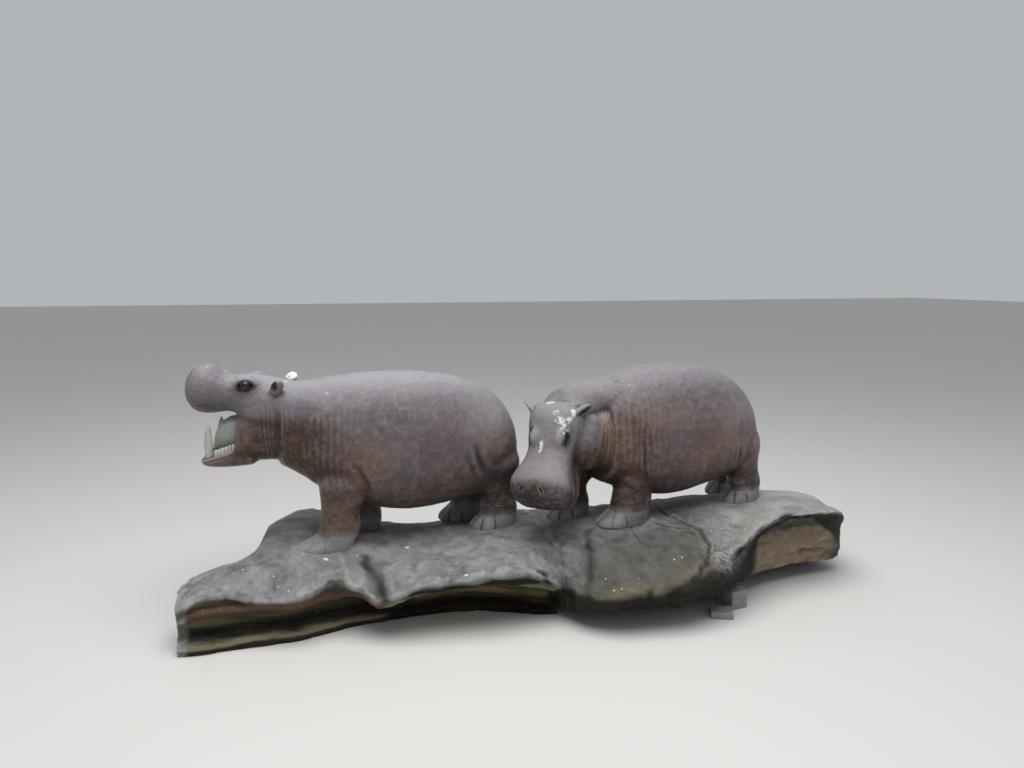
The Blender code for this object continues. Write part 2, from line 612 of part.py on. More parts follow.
def rock_left():
    rings = []
    for i, (x, yl, zl, yf, yb, zb, zc) in enumerate(curve_through(LEFT, 27)):
        wave = 0.012 * math.sin(7.3 * x + 1.0) + 0.008 * math.sin(17.0 * x)
        deep = yf + 0.030
        rings.append(
            [
                (x, yf, 0.0),
                (x, yf - 0.010, 0.030),
                (x, deep + 0.010, 0.055),
                (x, deep + 0.004, 0.40 * zl + 0.030),
                (x, (deep + yl) / 2, 0.62 * zl + 0.010),
                (x, yl + 0.022, zl - 0.045),
                (x, yl, zl - 0.008),
                (x, yl + 0.014, zl + 0.014),
                (x, yl + 0.30 * (0.02 - yl) * 0.6, zl + 0.55 * (zc - zl) + wave),
                (x, yl + 0.62 * (0.0 - yl) * 0.85, zc - 0.006 + wave * 0.5),
                (x, yl + 0.55 * (yb - yl), zc),
                (x, yl + 0.78 * (yb - yl), (zc * 0.55 + zb * 0.45) + wave * 0.5),
                (x, yb - 0.030, zb),
                (x, yb, zb - 0.040),
                (x, yb - 0.010, zb * 0.5),
                (x, yb - 0.030, 0.0),
            ]
        )
    return loft("rock_left", rings)


def rock_right():
    rings = []
    for x, ym, zm, ye, ze, yb, zb, zc in curve_through(RIGHT, 27):
        wave = 0.010 * math.sin(6.1 * x + 0.4) + 0.008 * math.sin(15.0 * x + 1.0)
        hollow = 0.10 * max(0.0, 1 - ((x - 1.22) / 0.34) ** 2)  # scooped front near the right end
        rings.append(
            [
                (x, ye, ze),
                (x, ye - 0.6 * (ye - ym) + hollow * 0.5, ze + 0.30 * (zm - ze)),
                (x, ym + 0.022 + hollow, zm - 0.32 * (zm - ze)),
                (x, ym + 0.004 + hollow * 0.35, zm - 0.030),
                (x, ym, zm),
                (x, ym + 0.040, zm + 0.30 * (zc - zm)),
                (x, ym + 0.36 * (0.02 - ym) * 0.7, zm + 0.72 * (zc - zm) + wave),
                (x, ym + 0.68 * (0.0 - ym) * 0.85, zc - 0.003 + wave * 0.5),
                (x, ym + 0.62 * (yb - ym), zc - 0.010),
                (x, ym + 0.82 * (yb - ym), zc * 0.5 + zb * 0.5 + wave * 0.4),
                (x, yb - 0.030, zb),
                (x, yb, zb - 0.045),
                (x, yb - 0.010, zb * 0.45),
                (x, yb - 0.030, 0.0),
                (x, min(yb - 0.10, -0.180), 0.0),
                (x, min(yb - 0.13, -0.215), ze * 0.9),
            ]
        )
    return loft("rock_right", rings)


rocks = {"rock_left": rock_left(), "rock_right": rock_right()}
for obj in rocks.values():
    work.objects.link(obj)


# the two moulded sections meet on an upright joint that runs from front to back
def half_space(name, side, shift):
    x0, x1 = (0.0 + shift, 4.0) if side > 0 else (-4.0, 0.0 + shift)
    corners = []
    for z in (-1.0, 1.0):
        for x, y in ((x0, -1.5), (x1, -1.5), (x1, 1.5), (x0, 1.5)):
            corners.append((x + (0.040 + 0.020 * y if abs(x) < 1 else 0.0), y, z))
    return block(name, corners)


boolean(rocks["rock_left"], half_space("joint_right", 1, -GAP / 2), "DIFFERENCE")
boolean(rocks["rock_right"], half_space("joint_left", -1, GAP / 2), "DIFFERENCE")

# each foot sits in a shallow print of itself
for key in ("leg_front_left", "leg_front_right", "leg_rear_left", "leg_rear_right"):
    print_of = copy_of(pieces_a[key], "print_" + key, GAP * 1.5)
    for obj in rocks.values():
        boolean(obj, print_of, "DIFFERENCE")
for obj in rocks.values():
    boolean(obj, copy_of(body_b, "print_b", GAP * 1.5), "DIFFERENCE")


# packing blocks under the raised front of the right section
def packing(name, corner, size, turn):
    c, s = math.cos(math.radians(turn)), math.sin(math.radians(turn))
    points = [(corner[0] + c * x - s * y, corner[1] + s * x + c * y, z) for z in (0.0, size[2]) for x, y in ((0, 0), (size[0], 0), (size[0], size[1]), (0, size[1]))]
    return block(name, points)


blocks = {
    "packing_block_right": packing("pbr", (0.830, -0.650, 0), (0.090, 0.120, 0.085), 8),
    "packing_block_left": packing("pbl", (0.690, -0.700, 0), (0.100, 0.090, 0.030), -24),
}
for obj in blocks.values():
    boolean(obj, copy_of(rocks["rock_right"], "rock_grown_" + obj.name, GAP * 1.5), "DIFFERENCE")

# ---- names and finishes ----
LOOKS = {"eye": EYE, "tusk": IVORY, "tongue": FLESH}
for key, obj in pieces_a.items():
    look = next((v for k, v in LOOKS.items() if key.startswith(k)), BODY)
    finish(obj, "hippo_a_" + key, look)
finish(body_b, "hippo_b", BODY)
for key, obj in rocks.items():
    finish(obj, key, ROCK)
for key, obj in blocks.items():
    finish(obj, key, BLOCK, False)

# the origin goes to the middle of the underside
points = np.array([v.co for obj in group.objects for v in obj.data.vertices])
shift = Vector(((points[:, 0].min() + points[:, 0].max()) / -2, (points[:, 1].min() + points[:, 1].max()) / -2, -points[:, 2].min()))
for obj in group.objects:
    for v in obj.data.vertices:
        v.co += shift
    obj.data.update()
print("shift", tuple(round(v, 5) for v in shift), "size", (points.max(0) - points.min(0)).round(4))
total = 0
for obj in group.objects:
    obj.data.calc_loop_triangles()
    total += len(obj.data.loop_triangles)
    print(obj.name, len(obj.data.loop_triangles))
print("triangles", total)

for collection in (work, cutters):
    collection.hide_render = True
    for obj in collection.objects:
        obj.hide_render = True
        obj.display_type = "WIRE"
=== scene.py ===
"""Looks of a museum group: two life-size pygmy hippopotamus figures in painted fibreglass on an artificial rock.

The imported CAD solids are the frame. Each figure's flesh becomes one sculpted skin, and each rock section one
weathered skin; eyes, tusks, teeth, tongue and packing blocks are pieces of their own. Everything is built in the
layout frame of the group (metres, +Z up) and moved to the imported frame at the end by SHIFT.
"""

import math

import bmesh
import bpy
import numpy as np
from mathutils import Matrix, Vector


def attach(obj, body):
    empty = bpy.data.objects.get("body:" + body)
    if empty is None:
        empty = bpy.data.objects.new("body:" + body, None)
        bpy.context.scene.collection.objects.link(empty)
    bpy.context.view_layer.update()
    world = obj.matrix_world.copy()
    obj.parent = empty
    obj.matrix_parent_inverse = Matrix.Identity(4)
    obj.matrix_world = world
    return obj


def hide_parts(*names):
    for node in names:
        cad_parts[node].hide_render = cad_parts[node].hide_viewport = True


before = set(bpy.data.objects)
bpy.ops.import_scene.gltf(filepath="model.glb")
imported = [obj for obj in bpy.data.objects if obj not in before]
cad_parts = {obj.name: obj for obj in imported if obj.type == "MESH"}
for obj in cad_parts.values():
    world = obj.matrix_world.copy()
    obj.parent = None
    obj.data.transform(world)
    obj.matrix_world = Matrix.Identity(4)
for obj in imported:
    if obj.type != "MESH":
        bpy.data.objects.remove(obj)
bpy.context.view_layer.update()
COARSE = 1.0  # coarser meshes while trying things

SHIFT = np.array((-0.025, 0.21952, 0.0))

# ---- driving dimensions, the same as in the CAD ----
ROCK_X = (-1.60, 1.65)
BACK_A, BACK_B = 1.10, 1.112
HEAD_LENGTH = 0.447
MUZZLE_HALF_WIDTH = 0.135
EYE_RADIUS, EYE_RADIUS_B = 0.025, 0.022
A_ORIGIN, A_YAW = (-0.035, 0.02), 5.0
B_ORIGIN, B_YAW = (1.212, -0.080), 8.0

TRUNK_A = [
    (0.030, 0.772, 0.625, 0.088),
    (0.047, 0.861, 0.568, 0.160),
    (0.081, 0.926, 0.528, 0.205),
    (0.140, 0.990, 0.500, 0.245),
    (0.280, 1.056, 0.478, 0.272),
    (0.420, 1.086, 0.455, 0.286),
    (0.570, BACK_A, 0.446, 0.290),
    (0.720, 1.102, 0.470, 0.278),
    (0.860, 1.092, 0.520, 0.255),
    (0.970, 1.080, 0.590, 0.225),
    (1.060, 1.076, 0.660, 0.184),
    (1.140, 1.078, 0.705, 0.150),
]
TRUNK_B = [
    (0.042, 0.750, 0.615, 0.088),
    (0.057, 0.836, 0.573, 0.155),
    (0.087, 0.942, 0.538, 0.205),
    (0.149, 1.021, 0.522, 0.245),
    (0.250, 1.076, 0.500, 0.270),
    (0.370, 1.106, 0.475, 0.285),
    (0.500, BACK_B, 0.455, 0.290),
    (0.630, 1.104, 0.462, 0.284),
    (0.750, 1.088, 0.490, 0.264),
    (0.850, 1.056, 0.530, 0.238),
    (0.920, 1.010, 0.560, 0.208),
]
SKULL = [
    (-0.060, -0.080, 0.140, 0.128),
    (0.000, -0.110, 0.156, 0.140),
    (0.080, -0.115, 0.172, 0.146),
    (0.150, -0.090, 0.186, 0.138),
    (0.210, -0.010, 0.186, 0.118),
    (0.255, 0.022, 0.180, 0.105),
    (0.285, 0.022, 0.190, 0.109),
    (0.320, 0.016, 0.212, 0.122),
    (0.360, 0.014, 0.230, MUZZLE_HALF_WIDTH),
    (0.400, 0.022, 0.220, 0.132),
    (0.428, 0.046, 0.190, 0.108),
    (HEAD_LENGTH, 0.085, 0.150, 0.062),
]
SKULL_B = [
    (0.010, -0.100, 0.140, 0.122),
    (0.045, -0.105, 0.176, 0.132),
    (0.090, -0.110, 0.196, 0.132),
    (0.150, -0.090, 0.192, 0.119),
    (0.200, -0.030, 0.184, 0.106),
    (0.245, 0.012, 0.178, 0.101),
    (0.285, 0.016, 0.184, 0.106),
    (0.330, 0.012, 0.206, 0.122),
    (0.380, 0.006, 0.222, 0.138),
    (0.425, 0.008, 0.214, 0.134),
    (0.458, 0.030, 0.184, 0.112),
    (0.480, 0.070, 0.146, 0.066),
]
CHEEK = [
    (-0.050, -0.175, 0.080, 0.118),
    (0.020, -0.190, 0.080, 0.140),
    (0.100, -0.196, 0.060, 0.150),
    (0.180, -0.202, 0.040, 0.146),
    (0.228, -0.216, 0.020, 0.132),
]
JAW_OPEN = [
    (0.150, -0.208, -0.120, 0.132),
    (0.230, -0.220, -0.122, 0.130),
    (0.285, -0.224, -0.142, 0.128),
    (0.335, -0.222, -0.160, 0.124),
    (0.370, -0.216, -0.172, 0.108),
    (0.392, -0.206, -0.182, 0.075),
]
CHEEK_SHUT = [
    (0.020, -0.160, 0.080, 0.140),
    (0.100, -0.172, 0.060, 0.150),
    (0.165, -0.160, 0.040, 0.143),
    (0.225, -0.126, 0.020, 0.116),
]
JAW_SHUT = [
    (0.100, -0.165, 0.020, 0.130),
    (0.180, -0.140, 0.030, 0.118),
    (0.260, -0.104, 0.040, 0.104),
    (0.330, -0.080, 0.050, 0.112),
    (0.385, -0.070, 0.060, 0.120),
    (0.432, -0.054, 0.060, 0.106),
    (0.454, -0.030, 0.050, 0.076),
]
MOUTH = [
    (0.120, -0.100, 0.000, 0.060),
    (0.180, -0.128, 0.010, 0.092),
    (0.250, -0.132, 0.026, 0.100),
    (0.300, -0.146, 0.026, 0.098),
    (0.345, -0.158, 0.010, 0.090),
    (0.375, -0.150, -0.020, 0.080),
]
EYE_A, EYE_B = (0.174, 0.112, 0.150), (0.184, 0.071, 0.160)
EAR_A, EAR_B = (0.046, 0.134, 0.136), (0.066, 0.114, 0.152)

# feet: place along the body, side, floor height, shin place, upper place, then the sizes of foot, shin and upper
FEET_A = [
    dict(foot=0.958, side=1, floor=0.335, shin=0.895, upper=0.850, foot_half=(0.120, 0.082), flat=1.0),
    dict(foot=0.775, side=-1, floor=0.322, shin=0.765, upper=0.800, foot_half=(0.110, 0.080)),
    dict(foot=0.158, side=1, floor=0.345, shin=0.132, upper=0.184, foot_half=(0.104, 0.078), shin_half=(0.080, 0.072), upper_half=(0.143, 0.088), upper_t=0.165),
    dict(foot=0.245, side=-1, floor=0.325, shin=0.205, upper=0.200, foot_half=(0.104, 0.078), shin_half=(0.080, 0.072), upper_half=(0.150, 0.088), upper_t=0.165),
]
FEET_B = [
    dict(foot=0.825, side=1, floor=0.372, shin=0.773, upper=0.735, foot_half=(0.125, 0.082), shin_half=(0.096, 0.078), flat=0.6),
    dict(foot=0.985, side=-1, floor=0.346, shin=0.968, upper=0.850, foot_half=(0.100, 0.078), shin_half=(0.072, 0.070), upper_half=(0.120, 0.08)),
    dict(foot=0.113, side=1, floor=0.395, shin=0.100, upper=0.172, foot_half=(0.096, 0.078), shin_half=(0.080, 0.072), upper_half=(0.122, 0.088), upper_t=0.160),
    dict(foot=0.000, side=-1, floor=0.365, shin=0.040, upper=0.172, foot_half=(0.096, 0.078), shin_half=(0.078, 0.072), upper_half=(0.122, 0.088), upper_t=0.150),
]
TAIL = [(0.082, 0.0, 0.850, 0.030, 0.026), (0.046, 0.0, 0.832, 0.028, 0.026), (0.028, 0.0, 0.795, 0.021, 0.023), (0.020, 0.0, 0.755, 0.016, 0.020), (0.017, 0.0, 0.715, 0.011, 0.016), (0.018, 0.0, 0.688, 0.006, 0.009)]

# left rock stations: x, ledge y, ledge z, base front y, back edge y, back z, crown z
LEFT = [
    (ROCK_X[0], -0.400, 0.190, -0.415, -0.330, 0.200, 0.222),
    (-1.545, -0.405, 0.222, -0.425, -0.200, 0.222, 0.254),
    (-1.400, -0.385, 0.238, -0.415, -0.080, 0.238, 0.288),
    (-1.300, -0.408, 0.214, -0.412, 0.030, 0.272, 0.322),
    (-1.230, -0.425, 0.206, -0.410, 0.240, 0.312, 0.350),
    (-1.110, -0.474, 0.222, -0.400, 0.345, 0.350, 0.362),
    (-0.960, -0.412, 0.258, -0.365, 0.360, 0.342, 0.350),
    (-0.860, -0.470, 0.232, -0.335, 0.352, 0.300, 0.340),
    (-0.790, -0.535, 0.200, -0.320, 0.345, 0.272, 0.334),
    (-0.640, -0.560, 0.252, -0.308, 0.325, 0.258, 0.332),
    (-0.440, -0.592, 0.272, -0.303, 0.300, 0.256, 0.337),
    (-0.280, -0.604, 0.282, -0.330, 0.290, 0.262, 0.344),
    (-0.140, -0.600, 0.272, -0.400, 0.280, 0.270, 0.352),
    (-0.020, -0.585, 0.215, -0.455, 0.270, 0.280, 0.356),
    (0.060, -0.540, 0.120, -0.468, 0.262, 0.285, 0.350),
]
# right rock stations: x, bulge y, bulge z, lower edge y, lower edge z, back y, back z, crown z
RIGHT = [
    (0.030, -0.560, 0.160, -0.500, 0.040, 0.262, 0.285, 0.350),
    (0.090, -0.700, 0.170, -0.590, 0.055, 0.250, 0.287, 0.352),
    (0.180, -0.760, 0.180, -0.640, 0.075, 0.235, 0.290, 0.362),
    (0.300, -0.785, 0.188, -0.655, 0.084, 0.215, 0.292, 0.370),
    (0.450, -0.800, 0.195, -0.665, 0.080, 0.195, 0.292, 0.374),
    (0.600, -0.795, 0.205, -0.660, 0.076, 0.180, 0.300, 0.380),
    (0.720, -0.765, 0.240, -0.640, 0.074, 0.168, 0.310, 0.386),
    (0.820, -0.725, 0.290, -0.600, 0.076, 0.155, 0.318, 0.392),
    (0.950, -0.650, 0.335, -0.540, 0.090, 0.140, 0.325, 0.396),
    (1.080, -0.590, 0.375, -0.480, 0.095, 0.125, 0.330, 0.400),
    (1.210, -0.560, 0.392, -0.440, 0.095, 0.105, 0.332, 0.402),
    (1.380, -0.545, 0.390, -0.420, 0.090, 0.070, 0.330, 0.400),
    (1.540, -0.480, 0.360, -0.400, 0.080, 0.010, 0.310, 0.380),
    (ROCK_X[1], -0.370, 0.280, -0.350, 0.070, -0.090, 0.260, 0.300),
]


# ---- solids ----
def curve_through(table, count):
    """Rows of a table at evenly spread places along it, on a smooth curve through its rows."""
    rows = np.array(table, float)
    place = np.concatenate([[0], np.cumsum(np.linalg.norm(np.diff(rows[:, :3], axis=0), axis=1))])
    slope = np.gradient(rows, place, axis=0)
    out = []
    for at in np.linspace(0, place[-1], count):
        i = min(max(int(np.searchsorted(place, at, side="right")) - 1, 0), len(place) - 2)
        step = place[i + 1] - place[i]
        u = (at - place[i]) / step
        out.append(
            (2 * u**3 - 3 * u**2 + 1) * rows[i]
            + (u**3 - 2 * u**2 + u) * step * slope[i]
            + (3 * u**2 - 2 * u**3) * rows[i + 1]
            + (u**3 - u**2) * step * slope[i + 1]
        )
    return np.array(out)


def ellipse(turn, power):
    c, s = math.cos(turn), math.sin(turn)
    return math.copysign(abs(c) ** (2 / power), c), math.copysign(abs(s) ** (2 / power), s)


def mesh_object(name, points, faces):
    data = bpy.data.meshes.new(name)
    data.from_pydata([tuple(p) for p in points], [], faces)
    solid = bmesh.new()
    solid.from_mesh(data)
    bmesh.ops.recalc_face_normals(solid, faces=solid.faces)
    solid.to_mesh(data)
    solid.free()
    return bpy.data.objects.new(name, data)


def loft(name, rings):
    """A closed solid through rings with the same number of points."""
    count = len(rings[0])
    points = [p for ring in rings for p in ring]
    faces = [
        (i * count + k, i * count + (k + 1) % count, (i + 1) * count + (k + 1) % count, (i + 1) * count + k)
        for i in range(len(rings) - 1)
        for k in range(count)
    ]
    last = (len(rings) - 1) * count
    faces += [tuple(range(count - 1, -1, -1)), tuple(range(last, last + count))]
    return mesh_object(name, points, faces)


class Body:
    """A figure's own frame: s forward from the rump, t to its left, z up."""

    def __init__(self, origin, yaw):
        self.origin = origin
        self.c, self.s = math.cos(math.radians(yaw)), math.sin(math.radians(yaw))

    def out(self, p):
        return (self.origin[0] - self.c * p[0] + self.s * p[1], self.origin[1] - self.s * p[0] - self.c * p[1], p[2])

    def into(self, points):
        dx, dy = points[:, 0] - self.origin[0], points[:, 1] - self.origin[1]
        return np.stack([-self.c * dx - self.s * dy, self.s * dx - self.c * dy, points[:, 2]], axis=1)


class Head:
    """Head coordinates: x to the nose, y to its left, z up, from the nape."""

    def __init__(self, nape, turn, nod, roll, scale=1.0):
        a, b, r = (math.radians(v) for v in (turn, nod, roll))
        ahead = Vector((-math.cos(a) * math.cos(b), -math.sin(a) * math.cos(b), -math.sin(b)))
        left = Vector((math.sin(a), -math.cos(a), 0.0))
        up = ahead.cross(left)
        self.left, self.up = left * math.cos(r) - up * math.sin(r), up * math.cos(r) + left * math.sin(r)
        self.ahead, self.nape, self.scale = ahead, Vector(nape), scale
        self.axes = np.array([self.ahead, self.left, self.up])

    def out(self, p):
        return tuple(self.nape + (self.ahead * p[0] + self.left * p[1] + self.up * p[2]) * self.scale)

    def into(self, points):
        return (points - np.array(self.nape)) @ self.axes.T / self.scale


def body_loft(name, table, place, power, rings, around):
    made = []
    for x, low, high, half in curve_through(table, rings):
        if low > high:
            low, high = high, low
        middle, rise = (low + high) / 2, (high - low) / 2
        ring = []
        for k in range(around):
            c, s = ellipse(2 * math.pi * k / around, power)
            ring.append(place((x, half * c, middle + rise * s)))
        made.append(ring)
    return loft(name, made)


def post_loft(name, rows, place, power=2.3, rings=44, around=48):
    made = []
    for s0, t0, z0, half_long, half_wide in curve_through(rows, rings):
        ring = []
        for k in range(around):
            c, s = ellipse(2 * math.pi * k / around, power)
            ring.append(place((s0 + half_long * c, t0 + half_wide * s, z0)))
        made.append(ring)
    return loft(name, made)


def limb(name, place, foot, side, floor, shin, upper, foot_half=(0.118, 0.082), shin_half=(0.084, 0.074), upper_half=(0.135, 0.085), upper_t=0.155, flat=0.35):
    t = side * 0.128
    return post_loft(
        name,
        [
            (foot + 0.002 + 0.006 * flat, t, floor - 0.020, foot_half[0] + 0.006 + 0.007 * flat, foot_half[1] + 0.004),
            (foot + 0.002 + 0.006 * flat, t, floor + 0.004 + 0.006 * flat, foot_half[0] + 0.006 + 0.007 * flat, foot_half[1] + 0.004),
            (foot - 0.002 - 0.012 * flat, t, floor + 0.030 - 0.008 * flat, foot_half[0] + 0.004 - 0.010 * flat, foot_half[1] + 0.004 - 0.002 * flat),
            (foot - 0.014 - 0.034 * flat, t, floor + 0.062 - 0.010 * flat, foot_half[0] - 0.010 - 0.016 * flat, foot_half[1] - 0.004),
            ((foot + shin) / 2 - 0.010 - 0.020 * flat, t, floor + 0.095, shin_half[0] + 0.008, shin_half[1]),
            (shin, t, floor + 0.150, shin_half[0], shin_half[1]),
            ((shin + upper) / 2, side * 0.138, floor + 0.230, (shin_half[0] + upper_half[0]) / 2, 0.080),
            (upper, side * upper_t, floor + 0.330, upper_half[0], upper_half[1]),
            (upper, side * (upper_t - 0.03), floor + 0.450, upper_half[0] * 0.62, upper_half[1] * 0.6),
        ],
        place,
    )


def ball(name, centre, radii, place, segments=48, rings=28):
    data = bpy.data.meshes.new(name)
    solid = bmesh.new()
    bmesh.ops.create_uvsphere(solid, u_segments=segments, v_segments=rings, radius=1.0)
    for v in solid.verts:
        v.co = Vector(place([v.co[i] * radii[i] + centre[i] for i in range(3)]))
    bmesh.ops.recalc_face_normals(solid, faces=solid.faces)
    solid.to_mesh(data)
    solid.free()
    return bpy.data.objects.new(name, data)


def ear(name, place, at, side):
    """A short rounded ear on a thick stalk, turned back and out, thick enough to be hollowed."""
    rows = [(-0.012, 0.020, 0.018), (0.0, 0.024, 0.021), (0.022, 0.027, 0.021), (0.044, 0.031, 0.020), (0.060, 0.029, 0.017), (0.073, 0.021, 0.012), (0.080, 0.010, 0.006)]
    rings = []
    for up, long, thick in rows:
        ring = []
        for k in range(36):
            c, s = ellipse(2 * math.pi * k / 36, 2.0)
            ring.append(place((at[0] - 0.25 * up + long * c, side * (at[1] - 0.022 + 0.55 * up + thick * s - 6 * (long * c) ** 2), at[2] - 0.022 + 0.80 * up)))
        rings.append(ring)
    return loft(name, rings)


# the ear that stands out sideways: its length, its breadth and the way its hollow opens, in head coordinates
OUT_ALONG, OUT_BROAD, OUT_OPEN = (-0.639, 0.748, -0.171), (0.171, -0.078, -0.982), (0.751, 0.657, 0.079)


def ear_held_out(name, place, at, side):
    """An ear that stands out sideways and a little back, with its hollow toward the snout."""
    rows = [(-0.020, 0.020, 0.016), (0.0, 0.024, 0.017), (0.022, 0.027, 0.017), (0.044, 0.029, 0.016), (0.062, 0.026, 0.013), (0.075, 0.017, 0.009), (0.081, 0.008, 0.005)]
    rings = []
    for up, long, thick in rows:
        ring = []
        for k in range(36):
            c, s = ellipse(2 * math.pi * k / 36, 2.0)
            x, y, z = (a * up + b * long * c + o * (thick * s + 6 * (long * c) ** 2) for a, b, o in zip(OUT_ALONG, OUT_BROAD, OUT_OPEN))
            ring.append(place((at[0] + x, side * (at[1] - 0.022 + y), at[2] - 0.018 + z)))
        rings.append(ring)
    return loft(name, rings)


def evaluated(obj):
    bpy.context.view_layer.update()
    graph = bpy.context.evaluated_depsgraph_get()
    data = bpy.data.meshes.new_from_object(obj.evaluated_get(graph), depsgraph=graph)
    obj.modifiers.clear()
    obj.data = data
    return obj


def joined(name, solids):
    whole = bmesh.new()
    for part in solids:
        whole.from_mesh(part.data)
    data = bpy.data.meshes.new(name)
    whole.to_mesh(data)
    whole.free()
    made = bpy.data.objects.new(name, data)
    bpy.context.scene.collection.objects.link(made)
    for part in solids:
        bpy.data.objects.remove(part)
    return made


def remeshed(obj, voxel, rounds):
    grid = obj.modifiers.new("grid", "REMESH")
    grid.mode, grid.voxel_size = "VOXEL", voxel
    if rounds:
        soft = obj.modifiers.new("soft", "SMOOTH")
        soft.factor, soft.iterations = 0.5, rounds
    return evaluated(obj)


def boolean(obj, other, operation):
    if not other.users_collection:
        bpy.context.scene.collection.objects.link(other)
    step = obj.modifiers.new(operation, "BOOLEAN")
    step.operation, step.solver, step.object = operation, "EXACT", other
    evaluated(obj)
    bpy.data.objects.remove(other)
    return obj


def thinned(obj, triangles):
    """At most this many triangles, with the small ones kept where the shape turns."""
    count = sum(len(f.vertices) - 2 for f in obj.data.polygons)
    if count > triangles:
        fewer = obj.modifiers.new("fewer", "DECIMATE")
        fewer.ratio = triangles / count
        fewer.use_collapse_triangulate = True
        evaluated(obj)
    return obj


def finer(obj, chosen):
    """Divides the faces whose corners are all chosen."""
    solid = bmesh.new()
    solid.from_mesh(obj.data)
    solid.verts.ensure_lookup_table()
    edges = [e for e in solid.edges if chosen[e.verts[0].index] and chosen[e.verts[1].index]]
    bmesh.ops.subdivide_edges(solid, edges=edges, cuts=1, use_grid_fill=True)
    bmesh.ops.triangulate(solid, faces=[f for f in solid.faces if len(f.verts) > 4])
    solid.to_mesh(obj.data)
    solid.free()
    return obj


def coordinates(obj):
    count = len(obj.data.vertices)
    co, no = np.zeros(count * 3, np.float32), np.zeros(count * 3, np.float32)
    obj.data.vertices.foreach_get("co", co)
    obj.data.vertex_normals.foreach_get("vector", no)
    return co.reshape(-1, 3).astype(float), no.reshape(-1, 3).astype(float)


def place_points(obj, points):
    obj.data.vertices.foreach_set("co", points.astype(np.float32).ravel())
    obj.data.update()


def store(obj, **fields):
    for name, values in fields.items():
        layer = obj.data.attributes.new(name, "FLOAT", "POINT")
        layer.data.foreach_set("value", np.clip(values, -1, 1).astype(np.float32))


def cavity_of(obj, rounds, reach):
    """How far each point stands out of (+) or lies below (-) its smoothed surroundings, as a share of reach."""
    co, no = coordinates(obj)
    ends = np.zeros(len(obj.data.edges) * 2, np.int32)
    obj.data.edges.foreach_get("vertices", ends)
    a, b = ends.reshape(-1, 2).T
    degree = np.bincount(a, minlength=len(co)) + np.bincount(b, minlength=len(co))
    soft = co.copy()
    for _ in range(rounds):
        total = np.stack([np.bincount(a, soft[b, k], len(co)) + np.bincount(b, soft[a, k], len(co)) for k in range(3)], axis=1)
        soft = 0.35 * soft + 0.65 * total / np.maximum(degree, 1)[:, None]
    return np.clip(((co - soft) * no).sum(axis=1) / reach, -1, 1)


# ---- smooth functions of place ----
def bell(x, width):
    return np.exp(-((x / width) ** 2))


def rise(x, start, end):
    u = np.clip((x - start) / (end - start), 0, 1)
    return u * u * (3 - 2 * u)


def scattered(i, j, k, seed):
    h = (i * 73856093) ^ (j * 19349663) ^ (k * 83492791) ^ (seed * 40503 + 977)
    h = ((h ^ (h >> 13)) * 1274126177) & 0xFFFFFFFF
    h = ((h ^ (h >> 15)) * 2246822519) & 0xFFFFFFFF
    return ((h ^ (h >> 13)) & 0xFFFF) / 65535.0


def noise(points, size, seed=0):
    """Smooth noise from -1 to 1 with lumps of about this size, in metres."""
    q = points / size
    cell = np.floor(q).astype(np.int64)
    f = q - cell
    f = f * f * (3 - 2 * f)
    total = np.zeros(len(points))
    for dx in (0, 1):
        for dy in (0, 1):
            for dz in (0, 1):
                weight = (f[:, 0] if dx else 1 - f[:, 0]) * (f[:, 1] if dy else 1 - f[:, 1]) * (f[:, 2] if dz else 1 - f[:, 2])
                total += weight * scattered(cell[:, 0] + dx, cell[:, 1] + dy, cell[:, 2] + dz, seed)
    return total * 2 - 1


def layered(points, size, octaves, seed=0):
    total, share = np.zeros(len(points)), 1.0
    for k in range(octaves):
        total += share * noise(points, size * 0.5**k, seed + k)
        share *= 0.5
    return total


def near_line(points, line):
    """Distance from a broken line, and how far along it the nearest place is, from 0 to 1."""
    line = np.array(line, float)
    best, along = np.full(len(points), 1e9), np.zeros(len(points))
    for k in range(len(line) - 1):
        a, d = line[k], line[k + 1] - line[k]
        u = np.clip(((points - a) @ d) / (d @ d), 0, 1)
        apart = np.linalg.norm(points - a - u[:, None] * d, axis=1)
        closer = apart < best
        best[closer], along[closer] = apart[closer], (k + u[closer]) / (len(line) - 1)
    return best, along


def folds(u, spacing):
    """Puffy folds with narrow grooves: 0 on the ridges and -1 in the grooves."""
    phase = np.abs((u / spacing) % 1.0 - 0.5) * 2
    return np.sqrt(np.maximum(1 - 0.97 * phase**2, 0)) - 1


# ---- the two figures ----
body_a, body_b = Body(A_ORIGIN, A_YAW), Body(B_ORIGIN, B_YAW)
head_a = Head(body_a.out((1.075, 0.0, 0.922)), -12.0, -1.0, 0.0)
head_b = Head((0.168, -0.185, 0.903), 51.0, 60.0, -1.0, 1.07)


def neck_of_b():
    start, end = Vector(body_b.out((0.675, 0.0, 0.785))), Vector(head_b.out((0.050, 0.0, -0.025)))
    first, last = Vector(body_b.out((1.0, 0, 0))) - Vector(body_b.out((0.0, 0, 0))), Vector(head_b.out((1, 0, 0))) - Vector(head_b.out((0, 0, 0)))
    rings = []
    for i in range(33):
        u = i / 32
        centre = start.lerp(end, u) + (first * (1 - u) - last * u) * u * (1 - u) * 0.34 - Vector((0, 0, 0.03)) * u * (1 - u)
        along = (first * (1 - u) + last * u).normalized()
        side = Vector((0, 0, 1)).cross(along).normalized()
        up = along.cross(side)
        wide, tall = 0.264 * (1 - u) + 0.152 * u, 0.290 * (1 - u) + 0.164 * u
        ring = []
        for k in range(72):
            c, s = ellipse(2 * math.pi * k / 72, 2.2)
            ring.append(tuple(centre + side * wide * c + up * tall * s))
        rings.append(ring)
    return loft("neck", rings)


